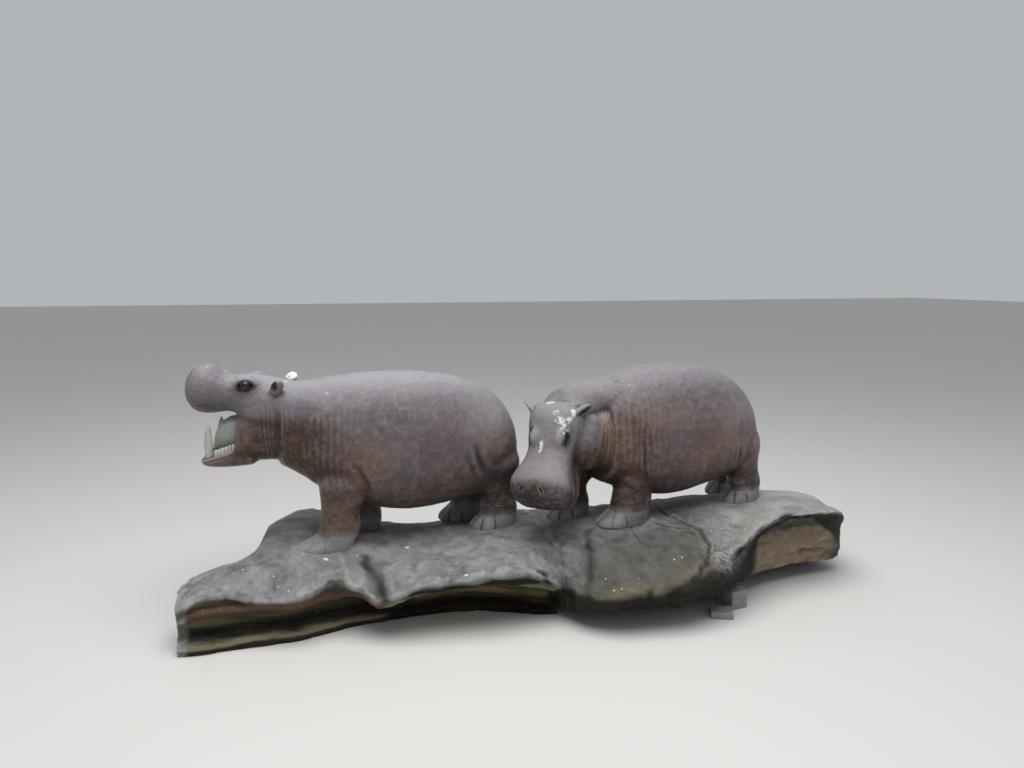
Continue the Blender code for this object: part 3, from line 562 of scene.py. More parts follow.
FIGURES = {
    "a": dict(body=body_a, head=head_a, eye=EYE_A, radius=EYE_RADIUS, brow=(0.054, 0.034, 0.038), ear=EAR_A, feet=FEET_A, trunk=TRUNK_A),
    "b": dict(body=body_b, head=head_b, eye=EYE_B, radius=EYE_RADIUS_B, brow=(0.050, 0.029, 0.033), ear=EAR_B, feet=FEET_B, trunk=TRUNK_B),
}


def ear_hollows(tag):
    """For each side: the middle of the ear's hollow, the way it opens, and its length and breadth."""
    out = []
    for side in (1, -1):
        at = np.array(FIGURES[tag]["ear"])
        turn = np.array((1.0, side, 1.0))
        if tag == "a":
            middle, opens, along = at + (-0.003, 0.010, 0.018), (0.62, 0.78, 0.05), (-0.25, 0.55, 0.80)
        else:
            opens, along = OUT_OPEN, OUT_ALONG
            middle = at + (0, -0.022, -0.018) + 0.046 * np.array(along) + 0.010 * np.array(opens)
        opens, along = (np.array(v) / np.linalg.norm(v) * turn for v in (opens, along))
        out.append((middle * turn, opens, along))
    return out


def base_of(tag):
    fig = FIGURES[tag]
    body, head = fig["body"].out, fig["head"].out
    solids = [body_loft("trunk", fig["trunk"], body, 2.3, 90, 96)]
    if tag == "a":
        solids += [body_loft("skull", SKULL, head, 2.35, 80, 84), body_loft("cheek", CHEEK, head, 2.5, 36, 84), body_loft("jaw", JAW_OPEN, head, 3.0, 40, 84)]
    else:
        solids += [neck_of_b(), body_loft("skull", SKULL_B, head, 2.35, 80, 84), body_loft("cheek", CHEEK_SHUT, head, 2.5, 36, 84), body_loft("jaw", JAW_SHUT, head, 2.4, 40, 72)]
        solids.append(post_loft("tail", [(s + 0.062, t, z - 0.050, *rest) for s, t, z, *rest in TAIL], body, 2.0, 30, 32))
        # the thick skin of the near side, gathered by the turned head
        solids += [ball("gathered", centre, radii, tuple) for centre, radii in (((0.225, -0.290, 0.775), (0.145, 0.115, 0.145)), ((0.345, -0.296, 0.782), (0.150, 0.118, 0.160)), ((0.220, -0.205, 0.912), (0.140, 0.130, 0.120)))]
    at = fig["eye"]
    solids += [ball("brow", (at[0], side * (at[1] - 0.016), at[2]), fig["brow"], head) for side in (1, -1)]
    solids += [limb("leg", body, **foot) for foot in fig["feet"]]
    obj = joined("skin_" + tag, solids)
    voxel = 0.0065 * COARSE
    remeshed(obj, voxel, int(7 * (0.011 / voxel) ** 2))
    if tag == "a":
        boolean(obj, body_loft("mouth", MOUTH, head, 3.0, 28, 48), "DIFFERENCE")
    extra = [(ear if tag == "a" else ear_held_out)("ear", head, fig["ear"], side) for side in (1, -1)]
    if tag == "a":
        extra.append(post_loft("tail", TAIL, body, 2.0, 30, 32))
    whole = joined("skin_" + tag, [obj, *extra])
    whole.name = "skin_" + tag
    return remeshed(whole, 0.0052 * COARSE, 3)


def eye_rounds(h, fig):
    """For each side: how far out over the eye a point is, in lid widths (almond and oval), and where it lies."""
    at, wide = fig["eye"], fig["radius"] / EYE_RADIUS
    out = []
    for side in (1, -1):
        dx, dz = (h[:, 0] - at[0]) / wide, (h[:, 2] - at[2]) / wide
        dz = dz + 0.12 * dx  # the eye dips to the front
        half = 0.0150 * (1 - 0.55 * np.clip(np.abs(dx) / 0.034, 0, 1) ** 2)
        r = np.sqrt((dx / 0.029) ** 2 + (dz / half) ** 2)
        wavy = 0.10 * noise(h, 0.026, 45 + side) + 0.05 * noise(h, 0.011, 47 + side)
        soft = np.sqrt((dx / 0.030) ** 2 + (dz / (0.0205 if fig["radius"] == EYE_RADIUS else 0.0165)) ** 2) + wavy
        mask = (h[:, 1] * side > 0.045) & (np.abs(dx) < 0.12) & (np.abs(dz) < 0.09)
        out.append((side, np.where(mask, r, 9.0), np.where(mask, soft, 9.0), dx, dz))
    return out


def nostrils(h, tag):
    """Slanting slits on the top of the muzzle: share of depth, and the raised rim."""
    x0, z_low, shift = (0.412, 0.10, 0.0) if tag == "a" else (0.430, 0.10, -0.014)
    pit, rim = np.zeros(len(h)), np.zeros(len(h))
    for side in (1, -1):
        dx, dy = h[:, 0] - x0, side * (h[:, 1] - shift) - 0.046
        u, v = dx * 0.80 + dy * 0.60, -dx * 0.60 + dy * 0.80
        long, wide = (0.015, 0.0065) if tag == "a" else (0.0115, 0.0042)
        r = np.sqrt((u / long) ** 2 + (v / wide) ** 2)
        over = (h[:, 2] > z_low) & (h[:, 0] > 0.33)
        pit += np.where(over, 1 - rise(r, 0.35, 1.25), 0)
        rim += np.where(over, bell(r - 1.9, 0.75), 0) * (0.8 if tag == "a" else 0.18)
    return pit, rim


def folds_of_neck(points, h, b, tag):
    """Depth share of the folds behind the cheek, from 0 down to -1."""
    wander = 0.013 * noise(points, 0.10, 41) + 0.006 * noise(points, 0.038, 42)
    uneven = np.clip(0.62 + 0.55 * noise(points, 0.055, 43), 0.1, 1)
    if tag == "a":
        x = h[:, 0] + wander + 0.35 * (h[:, 2] + 0.04) ** 2
        band = rise(x, -0.130, -0.04) * (1 - rise(x, 0.098, 0.122)) * (1 - rise(h[:, 2], 0.035, 0.105)) * (h[:, 0] > -0.2)
        fade = (0.30 + 0.70 * rise(x, -0.055, 0.015)) * (0.35 + 0.65 * bell(h[:, 2] + 0.025, 0.085))
        return folds(x + 0.0035 * np.sin(95 * x), 0.0195) * band * fade * uneven * (b[:, 0] > 0.90)
    x = points[:, 0] + wander * 0.9 - 0.10 * (points[:, 2] - 0.79)
    band = rise(x, 0.235, 0.275) * (1 - rise(x, 0.330, 0.375)) * rise(points[:, 2], 0.64, 0.74) * (1 - rise(points[:, 2], 0.88, 0.95)) * (points[:, 1] < -0.26)
    return folds(x + 0.004 * np.sin(83 * x), 0.0215) * band * uneven * 0.62


CREASES = {
    # lines in body coordinates: points, width, depth
    "a": [
        ([(0.297, 0.270, 0.800), (0.272, 0.266, 0.705), (0.223, 0.238, 0.622)], 0.016, 0.0065),
        ([(0.330, 0.272, 0.740), (0.312, 0.268, 0.680), (0.270, 0.240, 0.600)], 0.013, 0.0030),
        ([(0.850, 0.253, 0.730), (0.821, 0.253, 0.705), (0.790, 0.240, 0.640), (0.770, 0.220, 0.560)], 0.013, 0.0045),
        ([(0.972, 0.230, 0.750), (0.962, 0.238, 0.690), (0.940, 0.235, 0.630)], 0.010, 0.0030),
        ([(1.008, 0.205, 0.700), (0.992, 0.205, 0.640), (0.965, 0.190, 0.580)], 0.009, 0.0028),
    ],
    "b": [
        ([(0.800, 0.256, 0.800), (0.788, 0.252, 0.720), (0.772, 0.236, 0.640), (0.735, 0.205, 0.560)], 0.0080, 0.0044),
        ([(0.776, 0.260, 0.745), (0.762, 0.250, 0.660), (0.735, 0.225, 0.590)], 0.0065, 0.0032),
        ([(0.818, 0.250, 0.720), (0.804, 0.245, 0.650), (0.780, 0.220, 0.585)], 0.0060, 0.0026),
        ([(0.230, 0.250, 0.760), (0.219, 0.244, 0.662), (0.200, 0.220, 0.600)], 0.014, 0.0050),
        ([(0.262, 0.262, 0.720), (0.250, 0.250, 0.640), (0.225, 0.225, 0.580)], 0.010, 0.0028),
    ],
}


def leg_detail(points, b, fig):
    """Displacement of wrinkles and toes, and the masks of nails, clefts and worn feet."""
    move, nail, cleft, worn = (np.zeros(len(points)) for _ in range(4))
    for k, foot in enumerate(fig["feet"]):
        t0 = foot["side"] * 0.128
        height = b[:, 2] - foot["floor"]
        ds, dt = b[:, 0] - foot["foot"], b[:, 1] - t0
        near = (np.abs(b[:, 0] - (foot["foot"] + foot["shin"]) / 2) < 0.19) & (np.abs(dt) < 0.118) & (height < 0.32)
        wander = height + 0.006 * noise(points, 0.05, 60 + k) + 0.10 * (b[:, 0] - foot["shin"]) * foot["side"] * 0.4
        band = rise(height, 0.058, 0.085) * (1 - rise(height, 0.15, 0.25))
        move += np.where(near, folds(wander + 0.002 * np.sin(150 * wander), 0.0125) * band * 0.0015 * np.clip(0.55 + 0.9 * noise(points, 0.045, 70 + k), 0, 1.3), 0)
        worn = np.maximum(worn, np.where(near, 1 - rise(height + 0.016 * noise(points, 0.05, 66), 0.050, 0.100), 0))
        share = 1 - 0.60 * foot.get("flat", 0.0)
        turn = np.arctan2(dt, ds - foot["foot_half"][0] * 0.30)
        low = 1 - rise(height, 0.030, 0.062)
        for toe in (-1.25, -0.42, 0.42, 1.25):
            move += np.where(near, bell(turn - toe, 0.30) * low * 0.0034 * share, 0)
            nail = np.maximum(nail, np.where(near, bell(turn - toe, 0.20) * bell(height - 0.017, 0.015), 0))
        for gap in (-1.75, -0.84, 0.0, 0.84, 1.75):
            depth = np.where(near & (height < 0.07), bell(turn - gap, 0.085) * (1 - rise(height, 0.035, 0.065)), 0)
            move -= depth * 0.0034 * share
            cleft = np.maximum(cleft, depth * share)
        ankle = np.where(near, bell(height - 0.062, 0.008), 0)
        move -= ankle * 0.0016
    return move, nail * 0.4, cleft, worn


def carve(obj, tag):
    """Moves the points of a smooth figure to give it its folds, lids, nostrils, lips, ears, wrinkles and toes."""
    fig = FIGURES[tag]
    points, normal = coordinates(obj)
    h, b = fig["head"].into(points), fig["body"].into(points)
    scale = fig["head"].scale
    on_head = (h[:, 0] > -0.02) & (h[:, 0] < 0.52) & (np.abs(h[:, 1]) < 0.2) & (np.abs(h[:, 2] + 0.01) < 0.26)
    along = 0.0021 * layered(points, 0.13, 2, 1) + 0.0011 * layered(points, 0.035, 2, 5) + 0.0006 * noise(points, 0.013, 9)
    along += folds_of_neck(points, h, b, tag) * 0.0060
    for line, width, depth in CREASES[tag]:
        for mirror in (1, -1):
            apart, share = near_line(b + 0.006 * np.stack([noise(points, 0.05, s) for s in (36, 37, 38)], axis=1), [(p[0], mirror * p[1], p[2]) for p in line])
            ends = np.sin(np.pi * np.clip(share, 0.0, 1.0)) ** 0.8
            along -= 0.75 * depth * bell(apart, width) * ends
            along += depth * 0.15 * bell(apart - width * 2.0, width) * ends
    # fine slack-skin ripples over the shoulder and flank
    shoulder = bell(b[:, 0] - (0.93 if tag == "a" else 0.78), 0.10) * rise(b[:, 2], 0.60, 0.70) * (1 - rise(b[:, 2], 0.90, 1.02))
    along += folds(b[:, 0] + 0.25 * (b[:, 2] - 0.8) ** 2 + 0.008 * noise(points, 0.08, 33), 0.028) * shoulder * 0.0018
    move, _, _, _ = leg_detail(points, b, fig)
    along += move
    # nostrils and lips
    pit, rim = nostrils(h, tag)
    along += np.where(on_head, -0.013 * pit + 0.0050 * rim, 0)
    if tag == "a":
        # lip swelling above the mouth edge of the muzzle, and crinkles beside the mouth corner
        edge = np.where(on_head & (h[:, 0] > 0.20) & (h[:, 2] > -0.02), bell(h[:, 2] - 0.062, 0.007), 0) * rise(h[:, 0], 0.24, 0.30)
        along -= 0.0022 * edge
        corner = on_head * bell(h[:, 0] - 0.165, 0.035) * bell(h[:, 2] + 0.015, 0.03) * rise(np.abs(h[:, 1]), 0.09, 0.12)
        along += folds(h[:, 2] + 0.5 * h[:, 0], 0.013) * corner * 0.0020
        bulge = on_head * bell(h[:, 0] - 0.145, 0.050) * bell(h[:, 2] - 0.02, 0.040) * rise(np.abs(h[:, 1]), 0.08, 0.11)
        along += 0.009 * bulge
        for rim in (0.066, -0.030):
            along -= 0.0011 * on_head * bell(h[:, 2] - rim + 0.3 * (h[:, 0] - 0.145), 0.006) * bell(h[:, 0] - 0.140, 0.045) * rise(np.abs(h[:, 1]), 0.08, 0.11)
        lip = -0.122 - 0.36 * (h[:, 0] - 0.235)
        along -= 0.0026 * on_head * rise(h[:, 0], 0.225, 0.245) * bell(h[:, 2] - lip + 0.0115, 0.0034) * rise(np.abs(h[:, 1]), 0.07, 0.10)
        along += 0.0018 * on_head * rise(h[:, 0], 0.225, 0.245) * bell(h[:, 2] - lip + 0.021, 0.0045)
        chin = on_head * rise(h[:, 0], 0.24, 0.30) * bell(h[:, 2] + 0.175 + 0.25 * (h[:, 0] - 0.3), 0.006) * (h[:, 2] < -0.12)
        along -= 0.0030 * chin
    else:
        lip = 0.010 + 0.055 * rise(h[:, 0], 0.40, 0.48) - 0.055 * (1 - rise(h[:, 0], 0.20, 0.27))
        shut = on_head * rise(h[:, 0], 0.225, 0.26) * (1 - rise(np.abs(h[:, 1]), 0.132, 0.150))
        line = bell(h[:, 2] - lip, 0.0065) * shut
        along -= 0.0026 * line
        along += 0.0014 * bell(h[:, 2] - lip - 0.018, 0.012) * shut
        bulge = on_head * bell(h[:, 0] - 0.150, 0.055) * bell(h[:, 2] - 0.03, 0.045) * rise(np.abs(h[:, 1]), 0.07, 0.10)
        along += 0.005 * bulge
    # whisker dimples over the muzzle
    muzzle = on_head * rise(h[:, 0], 0.31, 0.36) * (np.abs(normal @ fig["head"].axes[1]) + 0.2).clip(0, 1)
    along -= muzzle * 0.0011 * rise(noise(points, 0.0105, 77), 0.45, 0.85)
    place = points + normal * along[:, None] * (scale if tag == "b" else 1.0)
    # eyes: an almond opening with raised lids and creases round them
    side_axis = fig["head"].axes[1]
    for side, r, soft, dx, dz in eye_rounds(h, fig):
        wide = fig["radius"] / EYE_RADIUS
        out = -0.0135 * wide * (1 - rise(r, 0.80, 1.15))
        out += 0.0050 * wide * bell(r - 1.32, 0.24) * (r > 0.5)
        below, above = rise(-dz, 0.002, 0.018), rise(dz, 0.002, 0.016)
        out -= 0.0022 * bell(soft - 1.50, 0.14) * np.maximum(below, above)
        for ring, deep in ((1.83, 0.0024), (2.28, 0.0019), (2.80, 0.0012)):
            out -= deep * bell(soft - ring, 0.13) * below * (0.6 + 0.4 * noise(h, 0.03, 49))
        out -= 0.0026 * bell(soft - 2.45, 0.17) * above * rise(dx, -0.045, -0.01)
        place += side_axis * (side * out * scale)[:, None]
    # ears: hollowed on the side that opens
    for middle, opens, along_ear in ear_hollows(tag):
        rel = h - middle
        up = rel @ along_ear
        flat = rel - up[:, None] * along_ear - (rel @ opens)[:, None] * opens
        r = np.sqrt((up / 0.033) ** 2 + (np.linalg.norm(flat, axis=1) / 0.0190) ** 2)
        turned = (normal @ fig["head"].axes.T) @ opens
        hollow = (1 - rise(r, 0.35, 1.15)) * rise(turned, 0.05, 0.50) * (np.linalg.norm(rel, axis=1) < 0.060)
        place -= (opens @ fig["head"].axes) * (0.0125 * hollow * scale)[:, None]
    place_points(obj, place)


def in_mouth(h):
    """How deep inside the mouth of figure A a point lies, from 0 at the lips to 1."""
    rows = np.array(MOUTH)
    low, high, half = (np.interp(h[:, 0], rows[:, 0], rows[:, k]) for k in (1, 2, 3))
    middle, tall = (low + high) / 2, (high - low) / 2
    r = (np.abs(h[:, 1]) / (half + 0.004)) ** 3 + (np.abs(h[:, 2] - middle) / (tall + 0.004)) ** 3
    return (1 - rise(r, 0.92, 1.22)) * (h[:, 0] > 0.11) * (h[:, 0] < 0.40)


def spots(points, line_points, sizes):
    total = np.zeros(len(points))
    for centre, size in zip(line_points, sizes):
        total = np.maximum(total, 1 - rise(np.linalg.norm(points - np.array(centre), axis=1) / size + 0.35 * noise(points, size * 0.7, 91), 0.55, 1.0))
    return total


def paint_masks(obj, tag):
    """Where the paint changes and where light is painted: dark lids, painted shade in the creases, nostrils, ear
    hollows, toe clefts, lip grooves and under the body, nails, worn feet, mouth lining, a pale head with painted
    highlights, and droppings.
    """
    fig = FIGURES[tag]
    points, normal = coordinates(obj)
    h, b = fig["head"].into(points), fig["body"].into(points)
    on_head = (h[:, 0] > -0.05) & (h[:, 0] < 0.52) & (np.abs(h[:, 1]) < 0.22) & (np.abs(h[:, 2] + 0.01) < 0.27)
    dark = np.zeros(len(points))
    for side, r, soft, dx, dz in eye_rounds(h, fig):
        dark = np.maximum(dark, 0.96 * (1 - rise(soft, 1.18, 1.50)) * (r < 8))
        # painted shade in the creases below the eye
        for ring in (2.25, 2.70):
            dark = np.maximum(dark, 0.62 * bell(soft - ring + 0.42, 0.13) * rise(-dz, 0.002, 0.018) * (0.6 + 0.4 * noise(h, 0.03, 49)))
    # painted shade in the nostrils
    pit, _ = nostrils(h, tag)
    dark = np.maximum(dark, np.where(on_head, 0.9 * rise(pit, 0.25, 0.8), 0))
    # painted shade in the ear hollows
    for middle, opens, along_ear in ear_hollows(tag):
        rel = h - middle
        up = rel @ along_ear
        flat = rel - up[:, None] * along_ear - (rel @ opens)[:, None] * opens
        r = np.sqrt((up / 0.034) ** 2 + (np.linalg.norm(flat, axis=1) / 0.0205) ** 2)
        turned = (normal @ fig["head"].axes.T) @ opens
        dark = np.maximum(dark, 0.93 * (1 - rise(r, 0.55, 1.10)) * rise(turned, -0.35, 0.15) * (np.linalg.norm(rel, axis=1) < 0.060))
    # painted shade in the grooves of the neck folds
    groove = -folds_of_neck(points, h, b, tag)
    dark = np.maximum(dark, 0.80 * rise(groove, 0.26, 0.80))
    # painted shade along the creases
    for line, width, depth in CREASES[tag]:
        for mirror in (1, -1):
            apart, share = near_line(b + 0.006 * np.stack([noise(points, 0.05, s) for s in (36, 37, 38)], axis=1), [(p[0], mirror * p[1], p[2]) for p in line])
            dark = np.maximum(dark, min(0.62, 110 * depth) * bell(apart, width * 0.7) * np.sin(np.pi * np.clip(share, 0.0, 1.0)))
    _, nail, cleft, worn = leg_detail(points, b, fig)
    # painted shade in the clefts between the toes
    dark = np.maximum(dark, 0.6 * rise(cleft, 0.3, 0.9))
    mouth, pale, white = np.zeros(len(points)), np.zeros(len(points)), np.zeros(len(points))
    s, t, z = b.T
    mottle = noise(points, 0.16, 97)
    # painted shade under the body and on the lower rump
    under_side = 0.42 * rise(-normal[:, 2], 0.05, 0.8) * (z < 0.78)
    lower_rump = 0.72 * (1 - rise(s + 0.03 * mottle, 0.14, 0.30)) * (1 - rise(z + 0.03 * mottle, 0.64, 0.82))
    shade = np.maximum(under_side, 1.25 * lower_rump if tag == "a" else 0.4 * lower_rump)
    if tag == "a":
        mouth = in_mouth(h)
        rim = on_head * (h[:, 0] > 0.20) * bell(h[:, 2] + 0.110 + 0.42 * (h[:, 0] - 0.21), 0.020) * rise(normal[:, 2], 0.1, 0.6)
        mouth = np.maximum(mouth, 0.75 * rim)
        # painted shade in the groove along the lower lip
        dark = np.maximum(dark, 0.80 * on_head * rise(h[:, 0], 0.225, 0.245) * bell(h[:, 2] + 0.122 + 0.36 * (h[:, 0] - 0.235) + 0.0115, 0.0036) * rise(np.abs(h[:, 1]), 0.07, 0.10))
        pale = 0.20 * on_head * rise(h[:, 2], -0.01, 0.05)
        # painted highlight along the lower lip's edge
        pale = np.maximum(pale, 0.75 * on_head * rise(h[:, 0], 0.225, 0.245) * bell(h[:, 2] + 0.122 + 0.36 * (h[:, 0] - 0.235) + 0.0205, 0.0040))
        pale = np.maximum(pale, 0.52 * (1 - rise(s, 0.22, 0.42)) * bell(z - 0.93, 0.11))
        shade = np.maximum(shade, 0.24 * rise(h[:, 0], 0.24, 0.32) * (h[:, 2] > 0.03) * on_head)
        shade = np.maximum(shade, 0.74 * rise(h[:, 0], -0.34, -0.14) * (1 - rise(h[:, 0], 0.10, 0.20)) * (1 - rise(h[:, 2] + 0.03 * mottle, -0.02, 0.09)) * (z > 0.62))
        shade = np.maximum(shade, 0.26 * bell(z - 0.975, 0.075))
        rust = 0.75 * bell(z - 0.70, 0.15) * rise(mottle, -0.5, 0.4) * (s > 0.10)
        # brown cheek, throat and neck
        warm = rise(h[:, 0] + 0.03 * mottle, -0.26, -0.06) * (1 - rise(h[:, 0], 0.22, 0.30)) * (1 - rise(h[:, 2] + 0.02 * noise(points, 0.08, 94), -0.04, 0.05)) * (0.70 + 0.30 * (1 - rise(h[:, 2], -0.16, -0.06))) * (h[:, 2] > -0.45)
        warm = np.maximum(warm, 0.50 * rise(s, 0.70, 0.86) * (1 - rise(z + 0.05 * mottle, 0.70, 0.86)))
        ears_top = [(EAR_A[0] - 0.018, -(EAR_A[1] + 0.020), EAR_A[2] + 0.035)]
        white = spots(h, ears_top + [(0.215, 0.03, 0.19), (0.30, -0.02, 0.20), (0.02, 0.02, 0.16)], [0.042, 0.010, 0.012, 0.012])
    else:
        lip = 0.010 + 0.055 * rise(h[:, 0], 0.40, 0.48) - 0.055 * (1 - rise(h[:, 0], 0.20, 0.27))
        # painted shade in the groove of the closed mouth
        dark = np.maximum(dark, 0.42 * bell(h[:, 2] - lip, 0.0060) * on_head * rise(h[:, 0], 0.225, 0.26) * (1 - rise(np.abs(h[:, 1]), 0.132, 0.150)))
        front = rise(normal @ fig["head"].axes[2], -0.1, 0.55)
        top = rise(h[:, 0], -0.12, 0.03) * (1 - rise(h[:, 0] + 0.012 * noise(points, 0.05, 95), 0.375, 0.425))
        shade = np.maximum(shade, 0.50 * rise(h[:, 0], -0.04, 0.10) * (np.abs(h[:, 1]) < 0.19) * (np.abs(h[:, 2]) < 0.26))
        shade = np.maximum(shade, 0.72 * (1 - rise(z + 0.04 * mottle, 0.54, 0.70)))
        shade = np.maximum(shade, 0.34 * rise(normal[:, 2], 0.55, 0.95) * (z > 0.9))
        shade = np.maximum(shade, 0.34 * bell(z - 0.985, 0.070))
        rust = 0.90 * bell(z - 0.76, 0.17) * rise(mottle, -0.7, 0.3) * (s < 1.0)
        # paler where the head faces up: painted highlight, partly pale weathering
        pale = (np.abs(h[:, 1]) < 0.22) * (np.abs(h[:, 2] + 0.01) < 0.30) * top * rise(h[:, 2], 0.02, 0.12) * (0.75 * front + 0.12)
        pale = np.maximum(pale, 0.28 * (1 - rise(s, 0.22, 0.42)) * bell(z - 0.90, 0.11))
        warm = rise(h[:, 0], -0.05, 0.06) * (1 - rise(h[:, 0], 0.40, 0.46)) * (1 - rise(h[:, 2] + 0.02 * noise(points, 0.08, 94), 0.01, 0.09)) * (points[:, 1] < -0.12) * (1 - rise(points[:, 0], 0.38, 0.62)) * 0.75
        white = spots(
            h,
            [(0.028, -0.021, 0.157), (0.113, 0.051, 0.187), (0.148, 0.096, 0.167), (0.026, 0.119, 0.087), (0.08, 0.03, 0.195), (0.06, 0.075, 0.185), (0.135, 0.072, 0.185), (0.100, 0.085, 0.175), (0.165, 0.075, 0.19)],
            [0.020, 0.024, 0.018, 0.013, 0.016, 0.018, 0.022, 0.016, 0.016],
        )
        apart, _ = near_line(h, [(0.215, -0.014, 0.182), (0.256, -0.016, 0.178)])
        white = np.maximum(white, 1 - rise(apart, 0.003, 0.007))
        # a thin white line above the near ear: painted highlight of its sunlit rim
        apart, _ = near_line(h, [(0.035, 0.085, 0.16), (0.075, 0.098, 0.16), (0.12, 0.090, 0.17)])
        white = np.maximum(white, 0.8 * (1 - rise(apart + 0.006 * noise(points, 0.02, 92), 0.004, 0.012)))
    # the lower muzzle darker: painted shade on its down-facing front, partly darker brown paint
    low_muzzle = on_head * (rise(h[:, 0], 0.385, 0.43) if tag == "b" else rise(h[:, 0], 0.28, 0.36) * (1 - rise(h[:, 2], 0.04, 0.12)) * (h[:, 2] > -0.03))
    store(obj, dark=dark, nail=nail, worn=worn, mouth=mouth, pale=pale, warm=warm, rust=rust, shade=shade, white=white, snout=low_muzzle, cavity=cavity_of(obj, 10, 0.0022))


def figure_skin(tag, triangles):
    obj = base_of(tag)
    points, _ = coordinates(obj)
    fig = FIGURES[tag]
    h, b = fig["head"].into(points), fig["body"].into(points)
    near_head = (h[:, 0] > -0.07) & (h[:, 0] < 0.52) & (np.abs(h[:, 1]) < 0.22) & (np.abs(h[:, 2] + 0.01) < 0.27)
    fine = near_head.copy()
    for foot in fig["feet"]:
        fine |= (np.abs(b[:, 0] - foot["foot"]) < 0.16) & (np.abs(b[:, 1] - foot["side"] * 0.128) < 0.11) & (b[:, 2] < foot["floor"] + 0.10)
    finer(obj, fine)
    carve(obj, tag)
    thinned(obj, triangles)
    paint_masks(obj, tag)
    obj.data.shade_smooth()
    return obj


skin_a = figure_skin("a", 190000)
skin_b = figure_skin("b", 180000)


# ---- eyes, teeth, tusks and tongue ----
def eyeball(name, tag, side):
    """A polished eyeball with a slightly raised cornea that looks out to the side."""
    at, head = FIGURES[tag]["eye"], FIGURES[tag]["head"]
    look = Vector((0.22, side * 0.95, 0.10)).normalized()
    data = bpy.data.meshes.new(name)
    solid = bmesh.new()
    bmesh.ops.create_uvsphere(solid, u_segments=64, v_segments=40, radius=1.0)
    gaze = []
    for v in solid.verts:
        d = v.co.normalized()
        turn = d.angle(look)
        radius = FIGURES[tag]["radius"] * (1 + 0.035 * math.exp(-((turn / 0.42) ** 2)))
        v.co = Vector(head.out((at[0] + d[0] * radius, side * (at[1] - (0.006 if tag == "b" else 0.0)) + d[1] * radius, at[2] + d[2] * radius)))
        gaze.append(turn / math.pi)
    bmesh.ops.recalc_face_normals(solid, faces=solid.faces)
    solid.to_mesh(data)
    solid.free()
    obj = bpy.data.objects.new(name, data)
    bpy.context.scene.collection.objects.link(obj)
    store(obj, gaze=np.array(gaze))
    data.shade_smooth()
    return obj


eyes = {(tag, side): eyeball("eye_" + tag + ("_left" if side > 0 else "_right"), tag, side) for tag in "ab" for side in (1, -1)}


def tooth(place, rows, around=20, power=2.2):
    """A tooth through rows of centre and two half widths."""
    rings = []
    for x, y, z, rx, ry in curve_through(rows, 14):
        ring = []
        for k in range(around):
            c, s = ellipse(2 * math.pi * k / around, power)
            ring.append(place((x + rx * c, y + ry * s, z)))
        rings.append(ring)
    return loft("tooth", rings)


def tusk(side, name):
    rows = [(0.345 + 0.08 * up - 0.6 * up * up, side * (0.082 + 0.08 * up), -0.190 + up, r, r * 0.94) for up, r in ((0.0, 0.0150), (0.04, 0.0175), (0.08, 0.0168), (0.12, 0.0140), (0.146, 0.0098), (0.160, 0.0052), (0.1655, 0.0018))]
    obj = tooth(head_a.out, rows, 28, 2.0)
    obj.name = name
    bpy.context.scene.collection.objects.link(obj)
    points, normal = coordinates(obj)
    h = head_a.into(points)
    turn = np.arctan2(h[:, 1] - side * 0.088, h[:, 0] - 0.345)
    place_points(obj, points + normal * (0.0005 * np.sin(9 * turn) * (1 - rise(h[:, 2], -0.10, -0.06)))[:, None])
    obj.data.shade_smooth()
    return obj


tusks = {side: tusk(side, "tusk_" + word) for side, word in ((1, "left"), (-1, "right"))}

teeth_parts = []
for side in (1, -1):
    # the lower incisors and the low rows of cheek teeth along the lip
    for y, x, long in ((0.014, 0.372, 0.030), (0.038, 0.366, 0.026)):
        teeth_parts.append(tooth(head_a.out, [(x - 0.012, side * y, -0.192, 0.009, 0.0105), (x - 0.006, side * y, -0.176, 0.009, 0.0105), (x + 0.002, side * y, -0.190 + long * 0.9, 0.007, 0.008), (x + 0.005, side * y, -0.190 + long * 1.2, 0.003, 0.003)]))
    for k in range(9):
        x = 0.222 + 0.0150 * k + 0.001 * math.sin(5.0 * k)
        if abs(x - 0.348) < 0.024:
            continue
        z = -0.1165 - 0.36 * max(0.0, x - 0.235) + 0.0016 * math.sin(3.0 * k + side)
        teeth_parts.append(tooth(head_a.out, [(x, side * 0.101, z - 0.026, 0.0080, 0.0085), (x, side * 0.101, z - 0.006, 0.0078, 0.0090), (x, side * 0.101, z + 0.003, 0.0066, 0.0072), (x, side * 0.101, z + 0.006, 0.003, 0.003)], power=2.8))
teeth = joined("teeth_a", teeth_parts)
teeth.data.shade_smooth()

tongue = body_loft(
    "tongue_a",
    [(0.160, -0.140, -0.038, 0.040), (0.195, -0.150, -0.006, 0.058), (0.235, -0.152, 0.003, 0.062), (0.275, -0.156, -0.004, 0.060), (0.308, -0.160, -0.024, 0.054), (0.332, -0.162, -0.064, 0.042), (0.345, -0.162, -0.112, 0.028)],
    head_a.out,
    2.3,
    60,
    64,
)
bpy.context.scene.collection.objects.link(tongue)
points, normal = coordinates(tongue)
h = head_a.into(points)
top = rise(normal[:, 2], 0.1, 0.7)
place_points(
    tongue,
    points + normal * (-0.006 * bell(h[:, 1], 0.007) * top + 0.0016 * layered(points, 0.022, 2, 3) - 0.003 * bell(np.abs(h[:, 1]) - 0.036, 0.006) * top)[:, None],
)
store(tongue, cavity=cavity_of(tongue, 6, 0.002))
tongue.data.shade_smooth()


# ---- rock ----
def refined(ring, count):
    """The closed ring with this many points, evenly spread along its straight sides."""
    ring = np.array(ring + ring[:1], float)
    run = np.concatenate([[0], np.cumsum(np.linalg.norm(np.diff(ring, axis=0), axis=1))])
    at = np.linspace(0, run[-1], count, endpoint=False)
    return [tuple(np.interp(t, run, ring[:, k]) for k in range(3)) for t in at]


